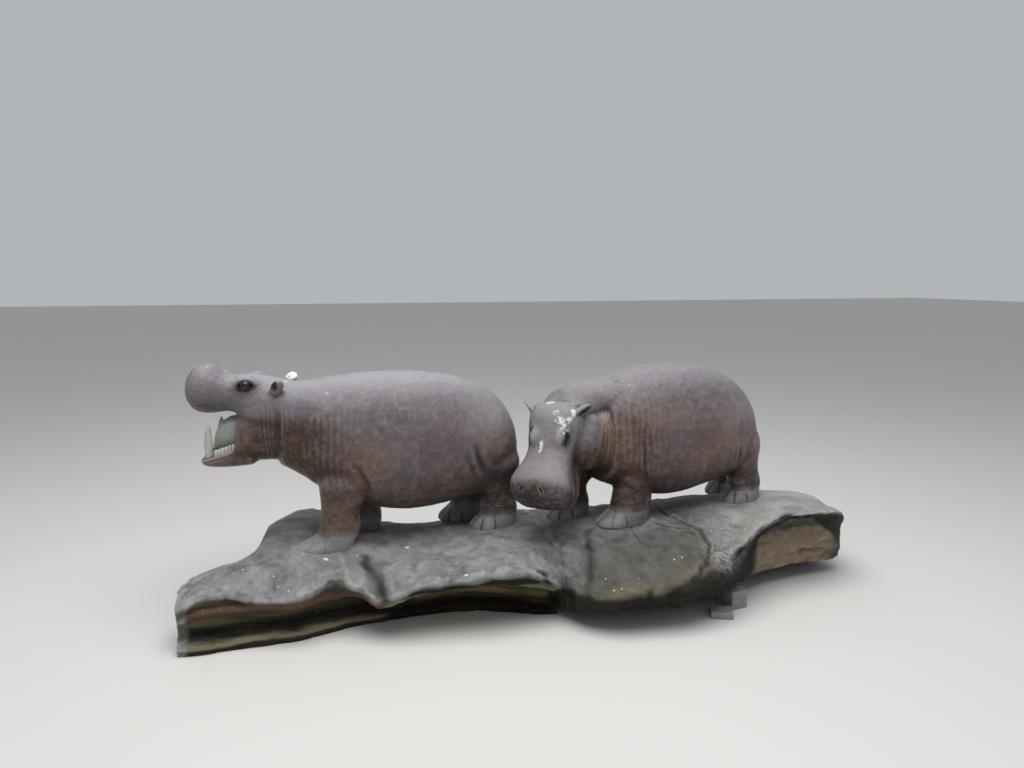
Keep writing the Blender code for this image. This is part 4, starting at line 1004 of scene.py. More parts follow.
def rock_left():
    rings = []
    for x, yl, zl, yf, yb, zb, zc in curve_through(LEFT, 150):
        wave = 0.012 * math.sin(7.3 * x + 1.0) + 0.008 * math.sin(17.0 * x)
        deep = yf + 0.030
        rings.append(
            refined(
                [
                    (x, yf, 0.0),
                    (x, yf - 0.010, 0.030),
                    (x, deep + 0.010, 0.055),
                    (x, deep + 0.004, 0.40 * zl + 0.030),
                    (x, (deep + yl) / 2, 0.62 * zl + 0.010),
                    (x, yl + 0.022, zl - 0.045),
                    (x, yl, zl - 0.008),
                    (x, yl + 0.014, zl + 0.014),
                    (x, yl + 0.30 * (0.02 - yl) * 0.6, zl + 0.55 * (zc - zl) + wave),
                    (x, yl + 0.62 * (0.0 - yl) * 0.85, zc - 0.006 + wave * 0.5),
                    (x, yl + 0.55 * (yb - yl), zc),
                    (x, yl + 0.78 * (yb - yl), (zc * 0.55 + zb * 0.45) + wave * 0.5),
                    (x, yb - 0.030, zb),
                    (x, yb, zb - 0.040),
                    (x, yb - 0.010, zb * 0.5),
                    (x, yb - 0.030, 0.0),
                ],
                150,
            )
        )
    return loft("rock_skin_left", rings)


def rock_right():
    rings = []
    for x, ym, zm, ye, ze, yb, zb, zc in curve_through(RIGHT, 150):
        wave = 0.010 * math.sin(6.1 * x + 0.4) + 0.008 * math.sin(15.0 * x + 1.0)
        hollow = 0.10 * max(0.0, 1 - ((x - 1.22) / 0.34) ** 2)
        rings.append(
            refined(
                [
                    (x, ye, ze),
                    (x, ye - 0.6 * (ye - ym) + hollow * 0.5, ze + 0.30 * (zm - ze)),
                    (x, ym + 0.022 + hollow, zm - 0.32 * (zm - ze)),
                    (x, ym + 0.004 + hollow * 0.35, zm - 0.030),
                    (x, ym, zm),
                    (x, ym + 0.040, zm + 0.30 * (zc - zm)),
                    (x, ym + 0.36 * (0.02 - ym) * 0.7, zm + 0.72 * (zc - zm) + wave),
                    (x, ym + 0.68 * (0.0 - ym) * 0.85, zc - 0.003 + wave * 0.5),
                    (x, ym + 0.62 * (yb - ym), zc - 0.010),
                    (x, ym + 0.82 * (yb - ym), zc * 0.5 + zb * 0.5 + wave * 0.4),
                    (x, yb - 0.030, zb),
                    (x, yb, zb - 0.045),
                    (x, yb - 0.010, zb * 0.45),
                    (x, yb - 0.030, 0.0),
                    (x, min(yb - 0.10, -0.180), 0.0),
                    (x, min(yb - 0.13, -0.215), ze * 0.9),
                ],
                150,
            )
        )
    return loft("rock_skin_right", rings)


# cracks and gouges: points, width, depth
CRACKS = [
    ([(-0.090, -0.577, 0.271), (-0.033, -0.548, 0.169), (0.030, -0.533, 0.075)], 0.016, 0.030),
    ([(0.643, -0.130, 0.361), (0.685, -0.344, 0.370), (0.737, -0.495, 0.348), (0.722, -0.623, 0.315), (0.633, -0.727, 0.272), (0.555, -0.781, 0.223)], 0.010, 0.015),
    ([(0.780, -0.748, 0.225), (0.791, -0.732, 0.280), (0.853, -0.698, 0.309), (1.010, -0.608, 0.359), (1.175, -0.551, 0.390), (1.269, -0.502, 0.352)], 0.020, 0.030),
    ([(0.215, -0.360, 0.354), (0.179, -0.477, 0.333), (0.122, -0.621, 0.264), (0.093, -0.700, 0.162)], 0.022, 0.0125),
    ([(0.560, -0.160, 0.366), (0.530, -0.300, 0.366), (0.590, -0.420, 0.362), (0.700, -0.470, 0.352)], 0.008, 0.008),
    ([(0.450, -0.330, 0.366), (0.400, -0.470, 0.356), (0.420, -0.600, 0.335)], 0.008, 0.006),
    ([(-0.822, -0.323, 0.309), (-0.797, -0.453, 0.265), (-0.773, -0.534, 0.206)], 0.034, 0.022),
    ([(0.310, -0.700, 0.300), (0.345, -0.790, 0.230), (0.335, -0.770, 0.130)], 0.020, 0.014),
    ([(0.190, -0.560, 0.340), (0.215, -0.690, 0.300), (0.205, -0.760, 0.220)], 0.016, 0.010),
    ([(-0.640, -0.350, 0.130), (-0.520, -0.360, 0.155), (-0.400, -0.345, 0.150), (-0.270, -0.380, 0.175)], 0.010, 0.016),
    ([(-0.700, -0.350, 0.090), (-0.560, -0.340, 0.100), (-0.460, -0.330, 0.088)], 0.010, 0.014),
    ([(0.560, -0.560, 0.350), (0.640, -0.640, 0.320), (0.655, -0.720, 0.270)], 0.016, 0.010),
    ([(1.020, -0.200, 0.402), (0.900, -0.120, 0.398), (0.760, -0.040, 0.390)], 0.016, 0.012),
    ([(1.090, -0.120, 0.400), (0.960, -0.040, 0.396), (0.820, 0.040, 0.372)], 0.016, 0.012),
    ([(0.420, 0.250, 0.290), (0.470, 0.190, 0.180), (0.430, 0.180, 0.060)], 0.014, 0.016),
    ([(-0.560, 0.330, 0.250), (-0.520, 0.320, 0.140), (-0.580, 0.300, 0.030)], 0.014, 0.016),
]
RIDGES = [
    ([(-0.278, -0.601, 0.278), (-0.165, -0.523, 0.203), (-0.078, -0.420, 0.092), (-0.035, -0.411, 0.060)], 0.026, 0.011),
    ([(0.245, -0.650, 0.325), (0.262, -0.780, 0.230), (0.250, -0.740, 0.120)], 0.030, 0.012),
    ([(-0.930, -0.300, 0.338), (-0.905, -0.420, 0.262), (-0.890, -0.470, 0.215)], 0.026, 0.010),
    ([(0.960, -0.160, 0.402), (0.830, -0.080, 0.396), (0.700, 0.010, 0.388)], 0.022, 0.012),
]
PITS = [((-1.183, -0.328, 0.286), 0.050, 0.016), ((-0.700, -0.180, 0.330), 0.045, 0.008), ((0.520, -0.420, 0.372), 0.060, 0.008), ((1.400, -0.250, 0.395), 0.060, 0.010)]
FEET_PLACES = [(fig["body"].out((foot["foot"] + ahead, foot["side"] * 0.128, foot["floor"]))) for fig in FIGURES.values() for foot in fig["feet"] for ahead in (0.0, 0.09)]
LEFT_ROWS, RIGHT_ROWS = np.array(LEFT), np.array(RIGHT)


def under_ledge(points):
    """How far a point lies under the overhanging edge of the left section, from 0 to 1."""
    x = points[:, 0] + 0.02 * noise(points, 0.07, 8)
    zl = np.interp(x, LEFT_ROWS[:, 0], LEFT_ROWS[:, 2]) + 0.016 * noise(points * (1, 0.2, 0.2), 0.075, 12)
    return (1 - rise(points[:, 2] - zl, -0.030, -0.014)) * (points[:, 1] < -0.15) * (points[:, 0] < 0.02) * rise(points[:, 0] + 0.010 * noise(points, 0.04, 13), -1.572, -1.545)


def in_hollow(points):
    x, z = points[:, 0], points[:, 2]
    top = 0.392 - 1.05 * np.maximum(0, np.abs(x - 1.27) - 0.05) ** 1.35
    return (1 - rise(z - top + 0.012 * noise(points, 0.05, 14), -0.050, -0.025)) * rise(x, 0.98, 1.06) * (1 - rise(x, 1.50, 1.60)) * (points[:, 1] < -0.3)


def weather(obj):
    points, normal = coordinates(obj)
    calm = np.zeros(len(points))
    for x, y, z in FEET_PLACES:
        calm = np.maximum(calm, bell(np.hypot(points[:, 0] - x, points[:, 1] - y), 0.15) * (points[:, 2] > 0.2))
    wild = 1 - 0.92 * calm
    front = points[:, 1] < -0.25
    along = wild * (0.0090 * layered(points, 0.24, 3, 20) - 0.010 * np.abs(noise(points, 0.15, 24)) + 0.004)
    along -= 0.0045 * rise(calm, 0.45, 0.75)
    along += wild * (0.0052 * layered(points, 0.050, 2, 27) + 0.0006 * noise(points, 0.018, 29)) * (1 - 0.6 * under_ledge(points))
    under = under_ledge(points)
    strata = noise(points * (0.13, 0.13, 1.0) + 0.012 * noise(points, 0.2, 30)[:, None], 0.019, 31)
    strata2 = noise(points * (0.16, 0.16, 1.0), 0.009, 32)
    along += under * (0.007 * strata + 0.003 * strata2) * rise(points[:, 2], 0.02, 0.05)
    side = (1 - np.abs(normal[:, 2])) * (1 - under)
    along += side * 0.004 * noise(points * (0.35, 0.35, 1.0), 0.024, 35)
    for line, width, depth in CRACKS:
        apart, share = near_line(points + 0.010 * np.stack([noise(points, 0.06, s) for s in (51, 52, 53)], axis=1), line)
        along -= depth * bell(apart, width) * (0.55 + 0.45 * np.sin(np.pi * np.clip(share, 0, 1)))
    for line, width, depth in RIDGES:
        apart, share = near_line(points, line)
        along += depth * bell(apart, width)
    broken = bell(np.linalg.norm(points - np.array((0.748, -0.690, 0.282)), axis=1), 0.085)
    along += broken * 0.006 * np.round(1.6 * noise(points, 0.030, 38))
    for centre, width, depth in PITS:
        along -= depth * bell(np.linalg.norm(points - np.array(centre), axis=1), width)
    place = points + normal * along[:, None]
    # the floor side stays flat
    place[:, 2] = np.where(points[:, 2] < 0.004, 0.0, np.maximum(place[:, 2], 0.0))
    place[:, 0] = np.clip(place[:, 0], ROCK_X[0] - 0.012, ROCK_X[1] + 0.012)
    place_points(obj, place)


def rock_masks(obj):
    points, normal = coordinates(obj)
    dark = np.zeros(len(points))
    warped = points + 0.010 * np.stack([noise(points, 0.06, s) for s in (51, 52, 53)], axis=1)
    # painted shade along the cracks
    for line, width, depth in CRACKS:
        apart, share = near_line(warped, line)
        dark = np.maximum(dark, min(1.0, 48 * depth) * bell(apart, width * 0.72))
    under, hollow = under_ledge(points), in_hollow(points)
    # downward faces: painted shade
    cut = rise(-normal[:, 2], 0.2, 0.7) * (points[:, 0] > 0.0)
    # lower face of the right section: painted shade, a near-black brown
    rows = RIGHT_ROWS
    zm = np.interp(points[:, 0], rows[:, 0], rows[:, 2])
    low = (1 - rise(points[:, 2] - zm - 0.014 - 0.030 * bell(points[:, 0] - 0.60, 0.16) + 0.014 * noise(points, 0.09, 15), -0.024, 0.004)) * (points[:, 0] > 0.0) * (1 - rise(points[:, 1] + 0.05 * noise(points, 0.12, 19), -0.50, -0.16)) * (1 - hollow)
    white = spots(
        points,
        [(-0.989, -0.319, 0.321), (-0.63, -0.29, 0.329), (-1.02, -0.30, 0.33), (0.400, -0.50, 0.365), (0.560, -0.35, 0.375), (1.16, -0.40, 0.395), (1.19, -0.47, 0.385), (0.90, -0.30, 0.395), (-0.42, -0.57, 0.285), (-0.85, -0.30, 0.32), (0.13, -0.62, 0.30), (-0.30, -0.35, 0.335)],
        [0.014, 0.010, 0.007, 0.012, 0.008, 0.010, 0.012, 0.010, 0.011, 0.008, 0.010, 0.007],
    )
    chips = bell(np.linalg.norm((points - np.array((0.748, -0.690, 0.282))) * (1.0, 0.8, 1.2), axis=1), 0.070)
    # the recess behind the root, a painted highlight along the edge of the ledge, and broad painted shade and painted
    # sunlight
    x, y, z = points.T
    wavy = 0.02 * noise(points, 0.10, 16)
    recess = rise(x + wavy, -0.79, -0.69) * under
    zl = np.interp(x, LEFT_ROWS[:, 0], LEFT_ROWS[:, 2]) + 0.016 * noise(points * (1, 0.2, 0.2), 0.075, 12)
    # painted highlight on the front of the ledge edge
    rim = bell(z - zl + 0.006, 0.008) * rise(-normal[:, 1], 0.2, 0.7) * (x < 0) * (0.55 + 0.45 * noise(points, 0.05, 17)) * (y < -0.2)
    shade = np.maximum(0.92 * rise(x, 0.02, 0.14) * (1 - rise(x + wavy, 0.70, 0.82)) * (1 - rise(y + wavy, -0.56, -0.28)), 0.80 * rise(x, -0.24, -0.14) * (1 - rise(x, 0.10, 0.20)) * (1 - rise(z + wavy, 0.10, 0.26)) * (y < -0.3))
    sunny = rise(x, 0.80, 1.0) * rise(normal[:, 2], 0.3, 0.8)
    ochre = bell(z - zm - 0.030 - 0.030 * bell(x - 0.60, 0.16) + 0.014 * noise(points, 0.09, 15), 0.017) * (x > 0.10) * (y < -0.3) * (1 - hollow) * (0.6 + 0.4 * noise(points, 0.07, 18))
    store(obj, dark=dark, under=under, recess=recess, rim=rim, shade=shade, sunny=sunny, ochre=ochre, hollow=hollow, low=np.maximum(low, 0.6 * cut), white=white, chips=chips, cavity=cavity_of(obj, 8, 0.0032))


def joint_side(side):
    x0, x1 = (0.0002, 4.0) if side > 0 else (-4.0, -0.0002)
    corners = []
    for z in (-1.0, 1.0):
        for x, y in ((x0, -1.5), (x1, -1.5), (x1, 1.5), (x0, 1.5)):
            corners.append((x + (0.040 + 0.020 * y if abs(x) < 1 else 0.0), y, z))
    return mesh_object("joint", corners, [(3, 2, 1, 0), (4, 5, 6, 7), (0, 1, 5, 4), (1, 2, 6, 5), (2, 3, 7, 6), (3, 0, 4, 7)])


def rock_skin(obj, side, triangles):
    bpy.context.scene.collection.objects.link(obj)
    remeshed(obj, 0.0070 * COARSE, 1)
    weather(obj)
    boolean(obj, joint_side(side), "DIFFERENCE")
    thinned(obj, triangles)
    rock_masks(obj)
    obj.data.shade_smooth()
    return obj


rock_left_skin = rock_skin(rock_left(), 1, 150000)
rock_right_skin = rock_skin(rock_right(), -1, 165000)


def packing(name, corner, size, turn):
    """A weathered concrete block with worn edges."""
    c, s = math.cos(math.radians(turn)), math.sin(math.radians(turn))
    data = bpy.data.meshes.new(name)
    solid = bmesh.new()
    bmesh.ops.create_cube(solid, size=1.0)
    for v in solid.verts:
        x, y = (v.co.x + 0.5) * size[0], (v.co.y + 0.5) * size[1]
        v.co = Vector((corner[0] + c * x - s * y, corner[1] + s * x + c * y, (v.co.z + 0.5) * size[2]))
    bmesh.ops.bevel(solid, geom=solid.edges[:], offset=0.006, segments=3, profile=0.5, affect="EDGES")
    bmesh.ops.subdivide_edges(solid, edges=[e for e in solid.edges if e.calc_length() > 0.012], cuts=14, use_grid_fill=True)
    bmesh.ops.triangulate(solid, faces=solid.faces[:])
    solid.to_mesh(data)
    solid.free()
    obj = bpy.data.objects.new(name, data)
    bpy.context.scene.collection.objects.link(obj)
    points, normal = coordinates(obj)
    moved = points + normal * (0.0016 * layered(points, 0.020, 3, 81) - 0.0022 * rise(noise(points, 0.012, 85), 0.4, 0.8))[:, None]
    moved[:, 2] = np.maximum(moved[:, 2], 0)
    place_points(obj, moved)
    store(obj, cavity=cavity_of(obj, 5, 0.0015))
    data.shade_smooth()
    return obj


blocks = {
    "right": packing("packing_right", (0.830, -0.650, 0), (0.090, 0.120, 0.0845), 8),
    "left": packing("packing_left", (0.690, -0.700, 0), (0.100, 0.090, 0.0300), -24),
}


# ---- materials ----
class Look:
    """Builds a material from procedural nodes."""

    def __init__(self, name):
        self.material = bpy.data.materials.new(name)
        self.material.use_nodes = True
        self.tree = self.material.node_tree
        self.tree.nodes.clear()
        out = self.tree.nodes.new("ShaderNodeOutputMaterial")
        self.shader = self.tree.nodes.new("ShaderNodeBsdfPrincipled")
        self.tree.links.new(self.shader.outputs[0], out.inputs[0])
        self.place = self.tree.nodes.new("ShaderNodeTexCoord").outputs["Object"]

    def put(self, value, socket):
        if isinstance(value, bpy.types.NodeSocket):
            self.tree.links.new(value, socket)
        elif isinstance(value, (tuple, list)):
            socket.default_value = (*value, 1.0) if len(socket.default_value) == 4 and len(value) == 3 else value
        else:
            socket.default_value = value

    def math(self, operation, a, b=0.0, clamp=False):
        node = self.tree.nodes.new("ShaderNodeMath")
        node.operation, node.use_clamp = operation, clamp
        self.put(a, node.inputs[0])
        self.put(b, node.inputs[1])
        return node.outputs[0]

    def times(self, a, b):
        return self.math("MULTIPLY", a, b)

    def mix(self, share, a, b, kind="MIX"):
        node = self.tree.nodes.new("ShaderNodeMix")
        node.data_type, node.blend_type = "RGBA", kind
        self.put(share, node.inputs[0])
        self.put(a, node.inputs[6])
        self.put(b, node.inputs[7])
        return node.outputs[2]

    def span(self, value, a, b, low=0.0, high=1.0, kind="LINEAR"):
        node = self.tree.nodes.new("ShaderNodeMapRange")
        node.interpolation_type = kind
        self.put(value, node.inputs["Value"])
        for name, number in (("From Min", a), ("From Max", b), ("To Min", low), ("To Max", high)):
            node.inputs[name].default_value = number
        return node.outputs[0]

    def stretched(self, x, y, z):
        node = self.tree.nodes.new("ShaderNodeMapping")
        self.put(self.place, node.inputs["Vector"])
        node.inputs["Scale"].default_value = (x, y, z)
        return node.outputs[0]

    def noise(self, scale, detail=4.0, rough=0.55, place=None, bend=0.0):
        node = self.tree.nodes.new("ShaderNodeTexNoise")
        self.put(place or self.place, node.inputs["Vector"])
        node.inputs["Scale"].default_value = scale
        node.inputs["Detail"].default_value = detail
        node.inputs["Roughness"].default_value = rough
        node.inputs["Distortion"].default_value = bend
        return node.outputs[0]

    def cells(self, scale, feature="DISTANCE_TO_EDGE", place=None):
        node = self.tree.nodes.new("ShaderNodeTexVoronoi")
        node.feature = feature
        self.put(place or self.place, node.inputs["Vector"])
        node.inputs["Scale"].default_value = scale
        return node.outputs["Distance"]

    def field(self, name):
        node = self.tree.nodes.new("ShaderNodeAttribute")
        node.attribute_name = name
        return node.outputs["Fac"]

    def axis(self, which, vector):
        node = self.tree.nodes.new("ShaderNodeSeparateXYZ")
        self.put(vector, node.inputs[0])
        return node.outputs[which]

    def normal(self):
        return self.tree.nodes.new("ShaderNodeNewGeometry").outputs["Normal"]

    def bump(self, height, strength, distance, under=None):
        node = self.tree.nodes.new("ShaderNodeBump")
        node.inputs["Strength"].default_value = strength
        node.inputs["Distance"].default_value = distance
        self.put(height, node.inputs["Height"])
        if under is not None:
            self.put(under, node.inputs["Normal"])
        return node.outputs[0]

    def finish(self, colour, roughness, normal=None, **more):
        self.put(colour, self.shader.inputs["Base Color"])
        self.put(roughness, self.shader.inputs["Roughness"])
        if normal is not None:
            self.put(normal, self.shader.inputs["Normal"])
        for name, number in more.items():
            self.shader.inputs[name.replace("_", " ")].default_value = number
        return self.material


def hide_paint():
    """Semi-gloss paint: mauve grey above and warm brown below, pale grey on the upward faces as chalky dust and painted
    sheen, with painted shade in the creases, under the body and on the lower muzzle.
    """
    k = Look("hippo_paint")
    height = k.axis(2, k.place)
    up = k.span(k.axis(2, k.normal()), -0.25, 0.95)
    cloud = k.noise(3.2, 5, 0.6)
    patch = k.noise(6.0, 4, 0.55, bend=0.4)
    streak = k.noise(1.0, 5, 0.6, k.stretched(26, 26, 2.6))
    fine = k.noise(95, 3, 0.6)
    speck = k.noise(240, 2, 0.5)
    level = k.math("ADD", k.span(height, 0.55, 1.02), k.times(k.math("SUBTRACT", cloud, 0.5), 0.9), clamp=True)
    side = k.mix(level, (0.100, 0.066, 0.057), (0.126, 0.110, 0.132))
    side = k.mix(k.times(k.field("rust"), 0.85), side, k.mix(k.span(patch, 0.28, 0.72), (0.126, 0.067, 0.050), (0.280, 0.176, 0.132)))
    side = k.mix(k.span(patch, 0.50, 0.74, 0.0, 0.34), side, (0.136, 0.084, 0.066))
    side = k.mix(k.span(streak, 0.52, 0.78, 0.0, 0.40), side, (0.066, 0.046, 0.044))
    side = k.mix(k.span(streak, 0.44, 0.26, 0.0, 0.22), side, (0.200, 0.172, 0.172))
    side = k.mix(k.times(k.field("warm"), 0.95), side, k.mix(k.span(patch, 0.28, 0.72), (0.044, 0.015, 0.006), (0.130, 0.056, 0.021)))
    # pale grey on the upward faces: painted sheen, partly chalky dust
    sharp = k.times(k.times(k.times(up, up), k.times(up, up)), up)
    sheen_and_dust = k.math("ADD", sharp, k.times(k.math("SUBTRACT", patch, 0.5), 0.24), clamp=True)
    colour = k.mix(k.times(sheen_and_dust, 0.90), side, (0.330, 0.322, 0.350))
    # paler head, lip edge and rump: partly painted highlight, partly pale weathering
    colour = k.mix(k.field("pale"), colour, k.mix(patch, (0.230, 0.224, 0.245), (0.370, 0.362, 0.380)))
    # darker lower muzzle: painted shade on its down-facing front, partly darker brown paint
    colour = k.mix(k.times(k.field("snout"), 0.80), colour, k.mix(k.span(patch, 0.28, 0.72), (0.034, 0.018, 0.014), (0.092, 0.056, 0.046)))
    colour = k.mix(k.span(fine, 0.50, 0.72, 0.0, 0.30), colour, (0.075, 0.058, 0.058))
    colour = k.mix(k.span(speck, 0.60, 0.75, 0.0, 0.30), colour, (0.36, 0.34, 0.35))
    colour = k.mix(k.field("shade"), colour, k.mix(1.0, colour, (0.34, 0.29, 0.29), "MULTIPLY"))
    colour = k.mix(k.times(k.field("worn"), 0.72), colour, k.mix(k.span(patch, 0.35, 0.65), (0.160, 0.157, 0.168), (0.350, 0.346, 0.368)))
    cavity = k.field("cavity")
    # painted shade in the hollows and painted highlight on the ridges, from the cavity measure
    colour = k.mix(k.span(cavity, -0.06, -0.75, 0.0, 0.80), colour, (0.026, 0.018, 0.016))
    colour = k.mix(k.span(cavity, 0.12, 0.80, 0.0, 0.35), colour, (0.33, 0.29, 0.28))
    colour = k.mix(k.times(k.field("nail"), 0.70), colour, k.mix(patch, (0.20, 0.195, 0.20), (0.36, 0.35, 0.35)))
    lining = k.mix(k.noise(14, 4, 0.6), (0.140, 0.150, 0.125), (0.300, 0.320, 0.290))
    lining = k.mix(k.span(k.noise(38, 3, 0.6), 0.55, 0.75, 0.0, 0.6), lining, (0.16, 0.125, 0.105))
    colour = k.mix(k.field("mouth"), colour, lining)
    # dark painted lids, and painted shade in the creases, nostrils, ear hollows, toe clefts and lip grooves
    colour = k.mix(k.field("dark"), colour, (0.014, 0.011, 0.010))
    # white droppings and specks, with a painted highlight above the near ear of figure B
    dropping = k.math("MAXIMUM", k.times(k.field("white"), k.span(k.noise(60, 3, 0.6), 0.36, 0.52)), 0.0)
    sprinkle = k.times(k.span(k.cells(17, "F1"), 0.085, 0.055), k.span(k.axis(2, k.normal()), 0.35, 0.75))
    sprinkle = k.times(sprinkle, k.span(k.noise(2.3, 2), 0.50, 0.60))
    colour = k.mix(k.math("MAXIMUM", dropping, k.times(sprinkle, 0.65)), colour, (0.72, 0.73, 0.72))
    gloss = k.math("ADD", k.span(patch, 0.35, 0.7, 0.32, 0.46), k.times(up, 0.08))
    gloss = k.math("ADD", gloss, k.times(k.field("mouth"), -0.10), clamp=True)
    skin = k.math("SUBTRACT", k.span(k.cells(120), 0.0, 0.10), k.times(fine, 0.8))
    skin = k.math("ADD", skin, k.times(k.noise(30, 4, 0.65), 1.6))
    normal = k.bump(skin, 0.50, 0.0020)
    return k.finish(colour, gloss, normal, Specular_IOR_Level=0.32, Coat_Weight=0.04, Coat_Roughness=0.30)


def rock_paint():
    """Artificial rock: grey tops paler than the darker sides, partly as painted light; brown and green beds under the
    ledge with near-black bands of painted shade; painted shade in cracks, hollows and on the lower faces; painted
    highlights on ridges and along the ledge edge; lichen and droppings.
    """
    k = Look("rock_paint")
    height = k.axis(2, k.place)
    up = k.axis(2, k.normal())
    cloud, patch = k.noise(2.6, 6, 0.62), k.noise(11, 6, 0.66, bend=0.5)
    grain, speck = k.noise(70, 5, 0.7), k.noise(230, 3, 0.6)
    grey = k.mix(k.span(patch, 0.34, 0.66), (0.118, 0.114, 0.120), (0.290, 0.287, 0.305))
    grey = k.mix(k.span(cloud, 0.46, 0.66, 0.0, 0.55), grey, (0.200, 0.195, 0.160))
    grey = k.mix(k.span(grain, 0.55, 0.75, 0.0, 0.45), grey, (0.070, 0.066, 0.064))
    grey = k.mix(k.span(speck, 0.60, 0.74, 0.0, 0.5), grey, (0.42, 0.41, 0.40))
    sides = k.mix(k.span(patch, 0.38, 0.66), (0.085, 0.078, 0.072), (0.190, 0.186, 0.172))
    sides = k.mix(k.span(k.noise(5.0, 4, 0.6), 0.48, 0.66, 0.0, 0.6), sides, (0.130, 0.140, 0.085))
    # upward faces paler grey than the darker, greener sides: partly painted light
    colour = k.mix(k.span(up, 0.05, 0.62), sides, grey)
    # beds, by height, bent a little; their near-black bands are painted shade under the ledge
    bent = k.math("ADD", height, k.times(k.math("SUBTRACT", k.noise(3.0, 3, 0.5), 0.5), 0.05))
    bent = k.math("ADD", bent, k.times(k.math("SUBTRACT", k.noise(1.0, 4, 0.6, k.stretched(6, 6, 40)), 0.5), 0.045))
    node = k.tree.nodes.new("ShaderNodeValToRGB")
    k.put(k.span(bent, 0.0, 0.25), node.inputs[0])
    stops = [(0.00, (0.026, 0.016, 0.011)), (0.10, (0.034, 0.023, 0.015)), (0.135, (0.180, 0.150, 0.100)), (0.165, (0.150, 0.128, 0.085)), (0.20, (0.045, 0.040, 0.022)), (0.25, (0.006, 0.005, 0.004)), (0.38, (0.007, 0.006, 0.005)), (0.45, (0.032, 0.031, 0.016)), (0.51, (0.062, 0.058, 0.030)), (0.57, (0.056, 0.038, 0.025)), (0.68, (0.125, 0.074, 0.055)), (0.80, (0.086, 0.064, 0.044)), (1.0, (0.052, 0.054, 0.034))]
    ramp = node.color_ramp
    while len(ramp.elements) < len(stops):
        ramp.elements.new(0.5)
    for element, (at, tint) in zip(ramp.elements, stops):
        element.position, element.color = at, (*tint, 1.0)
    beds = k.mix(k.span(patch, 0.54, 0.76, 0.0, 0.30), node.outputs[0], (0.085, 0.082, 0.055))
    # the recess behind the root: its near-black bottom and top bands are painted shade
    niche = k.tree.nodes.new("ShaderNodeValToRGB")
    k.put(k.span(bent, 0.0, 0.27), niche.inputs[0])
    bands = [(0.00, (0.014, 0.011, 0.008)), (0.20, (0.016, 0.012, 0.009)), (0.27, (0.150, 0.095, 0.055)), (0.36, (0.280, 0.225, 0.130)), (0.52, (0.280, 0.290, 0.185)), (0.68, (0.190, 0.200, 0.135)), (0.78, (0.014, 0.013, 0.010)), (1.0, (0.010, 0.009, 0.008))]
    while len(niche.color_ramp.elements) < len(bands):
        niche.color_ramp.elements.new(0.5)
    for element, (at, tint) in zip(niche.color_ramp.elements, bands):
        element.position, element.color = at, (*tint, 1.0)
    beds = k.mix(k.field("recess"), beds, k.mix(k.span(patch, 0.48, 0.70, 0.0, 0.5), niche.outputs[0], (0.045, 0.042, 0.028)))
    colour = k.mix(k.field("under"), colour, beds)
    earth = k.mix(k.noise(1.0, 4, 0.6, k.stretched(7, 7, 30)), (0.165, 0.122, 0.080), (0.320, 0.245, 0.165))
    earth = k.mix(k.span(bent, 0.25, 0.33, 0.0, 0.85), earth, k.mix(patch, (0.085, 0.098, 0.060), (0.230, 0.250, 0.175)))
    colour = k.mix(k.field("hollow"), colour, earth)
    colour = k.mix(k.field("shade"), colour, k.mix(1.0, colour, (0.46, 0.44, 0.40), "MULTIPLY"))
    colour = k.mix(k.times(k.field("sunny"), 0.62), colour, (0.430, 0.427, 0.450))
    # the lower faces: painted shade, near black
    foot = k.mix(k.span(patch, 0.40, 0.70), (0.012, 0.010, 0.008), (0.034, 0.029, 0.021))
    colour = k.mix(k.times(k.field("low"), 0.95), colour, foot)
    colour = k.mix(k.times(k.field("ochre"), 0.75), colour, (0.175, 0.150, 0.085))
    # painted highlight along the edge of the ledge
    colour = k.mix(k.times(k.field("rim"), 0.60), colour, (0.400, 0.395, 0.390))
    colour = k.mix(k.times(k.field("chips"), 0.80), colour, k.mix(k.span(k.noise(48, 4, 0.75, bend=1.2), 0.42, 0.56), (0.050, 0.048, 0.046), (0.380, 0.370, 0.380)))
    # painted shade in the hollows and painted highlight on the ridges, the highlight kept off the shaded parts
    cavity = k.field("cavity")
    colour = k.mix(k.span(cavity, -0.15, -0.95, 0.0, 0.66), colour, (0.022, 0.020, 0.017))
    colour = k.mix(k.times(k.span(cavity, 0.25, 0.95, 0.0, 0.42), k.math("SUBTRACT", 1.0, k.math("MAXIMUM", k.math("MAXIMUM", k.field("under"), k.field("low")), k.field("shade")), clamp=True)), colour, (0.44, 0.435, 0.44))
    # painted shade in the cracks
    colour = k.mix(k.times(k.field("dark"), 0.92), colour, (0.012, 0.012, 0.010))
    lichen = k.times(k.span(k.cells(22, "F1"), 0.10, 0.05), k.span(k.noise(2.1, 2), 0.52, 0.60))
    colour = k.mix(k.math("MAXIMUM", k.field("white"), k.times(lichen, k.span(up, 0.2, 0.7))), colour, (0.70, 0.70, 0.69))
    rough = k.span(patch, 0.3, 0.7, 0.62, 0.86)
    relief = k.math("ADD", k.times(grain, 1.0), k.times(k.noise(28, 5, 0.65), 1.9))
    normal = k.bump(relief, 0.70, 0.0060, k.bump(k.noise(9, 5, 0.6), 0.40, 0.02))
    return k.finish(colour, rough, normal, Specular_IOR_Level=0.12)


def ivory_look():
    k = Look("ivory")
    height = k.axis(2, k.place)
    grain = k.noise(1.0, 4, 0.6, k.stretched(160, 160, 22))
    colour = k.mix(grain, (0.310, 0.315, 0.245), (0.60, 0.60, 0.53))
    colour = k.mix(k.span(k.noise(40, 4, 0.6), 0.50, 0.70, 0.0, 0.6), colour, (0.20, 0.205, 0.14))
    normal = k.bump(grain, 0.25, 0.0008)
    return k.finish(colour, k.span(grain, 0.3, 0.7, 0.28, 0.46), normal)


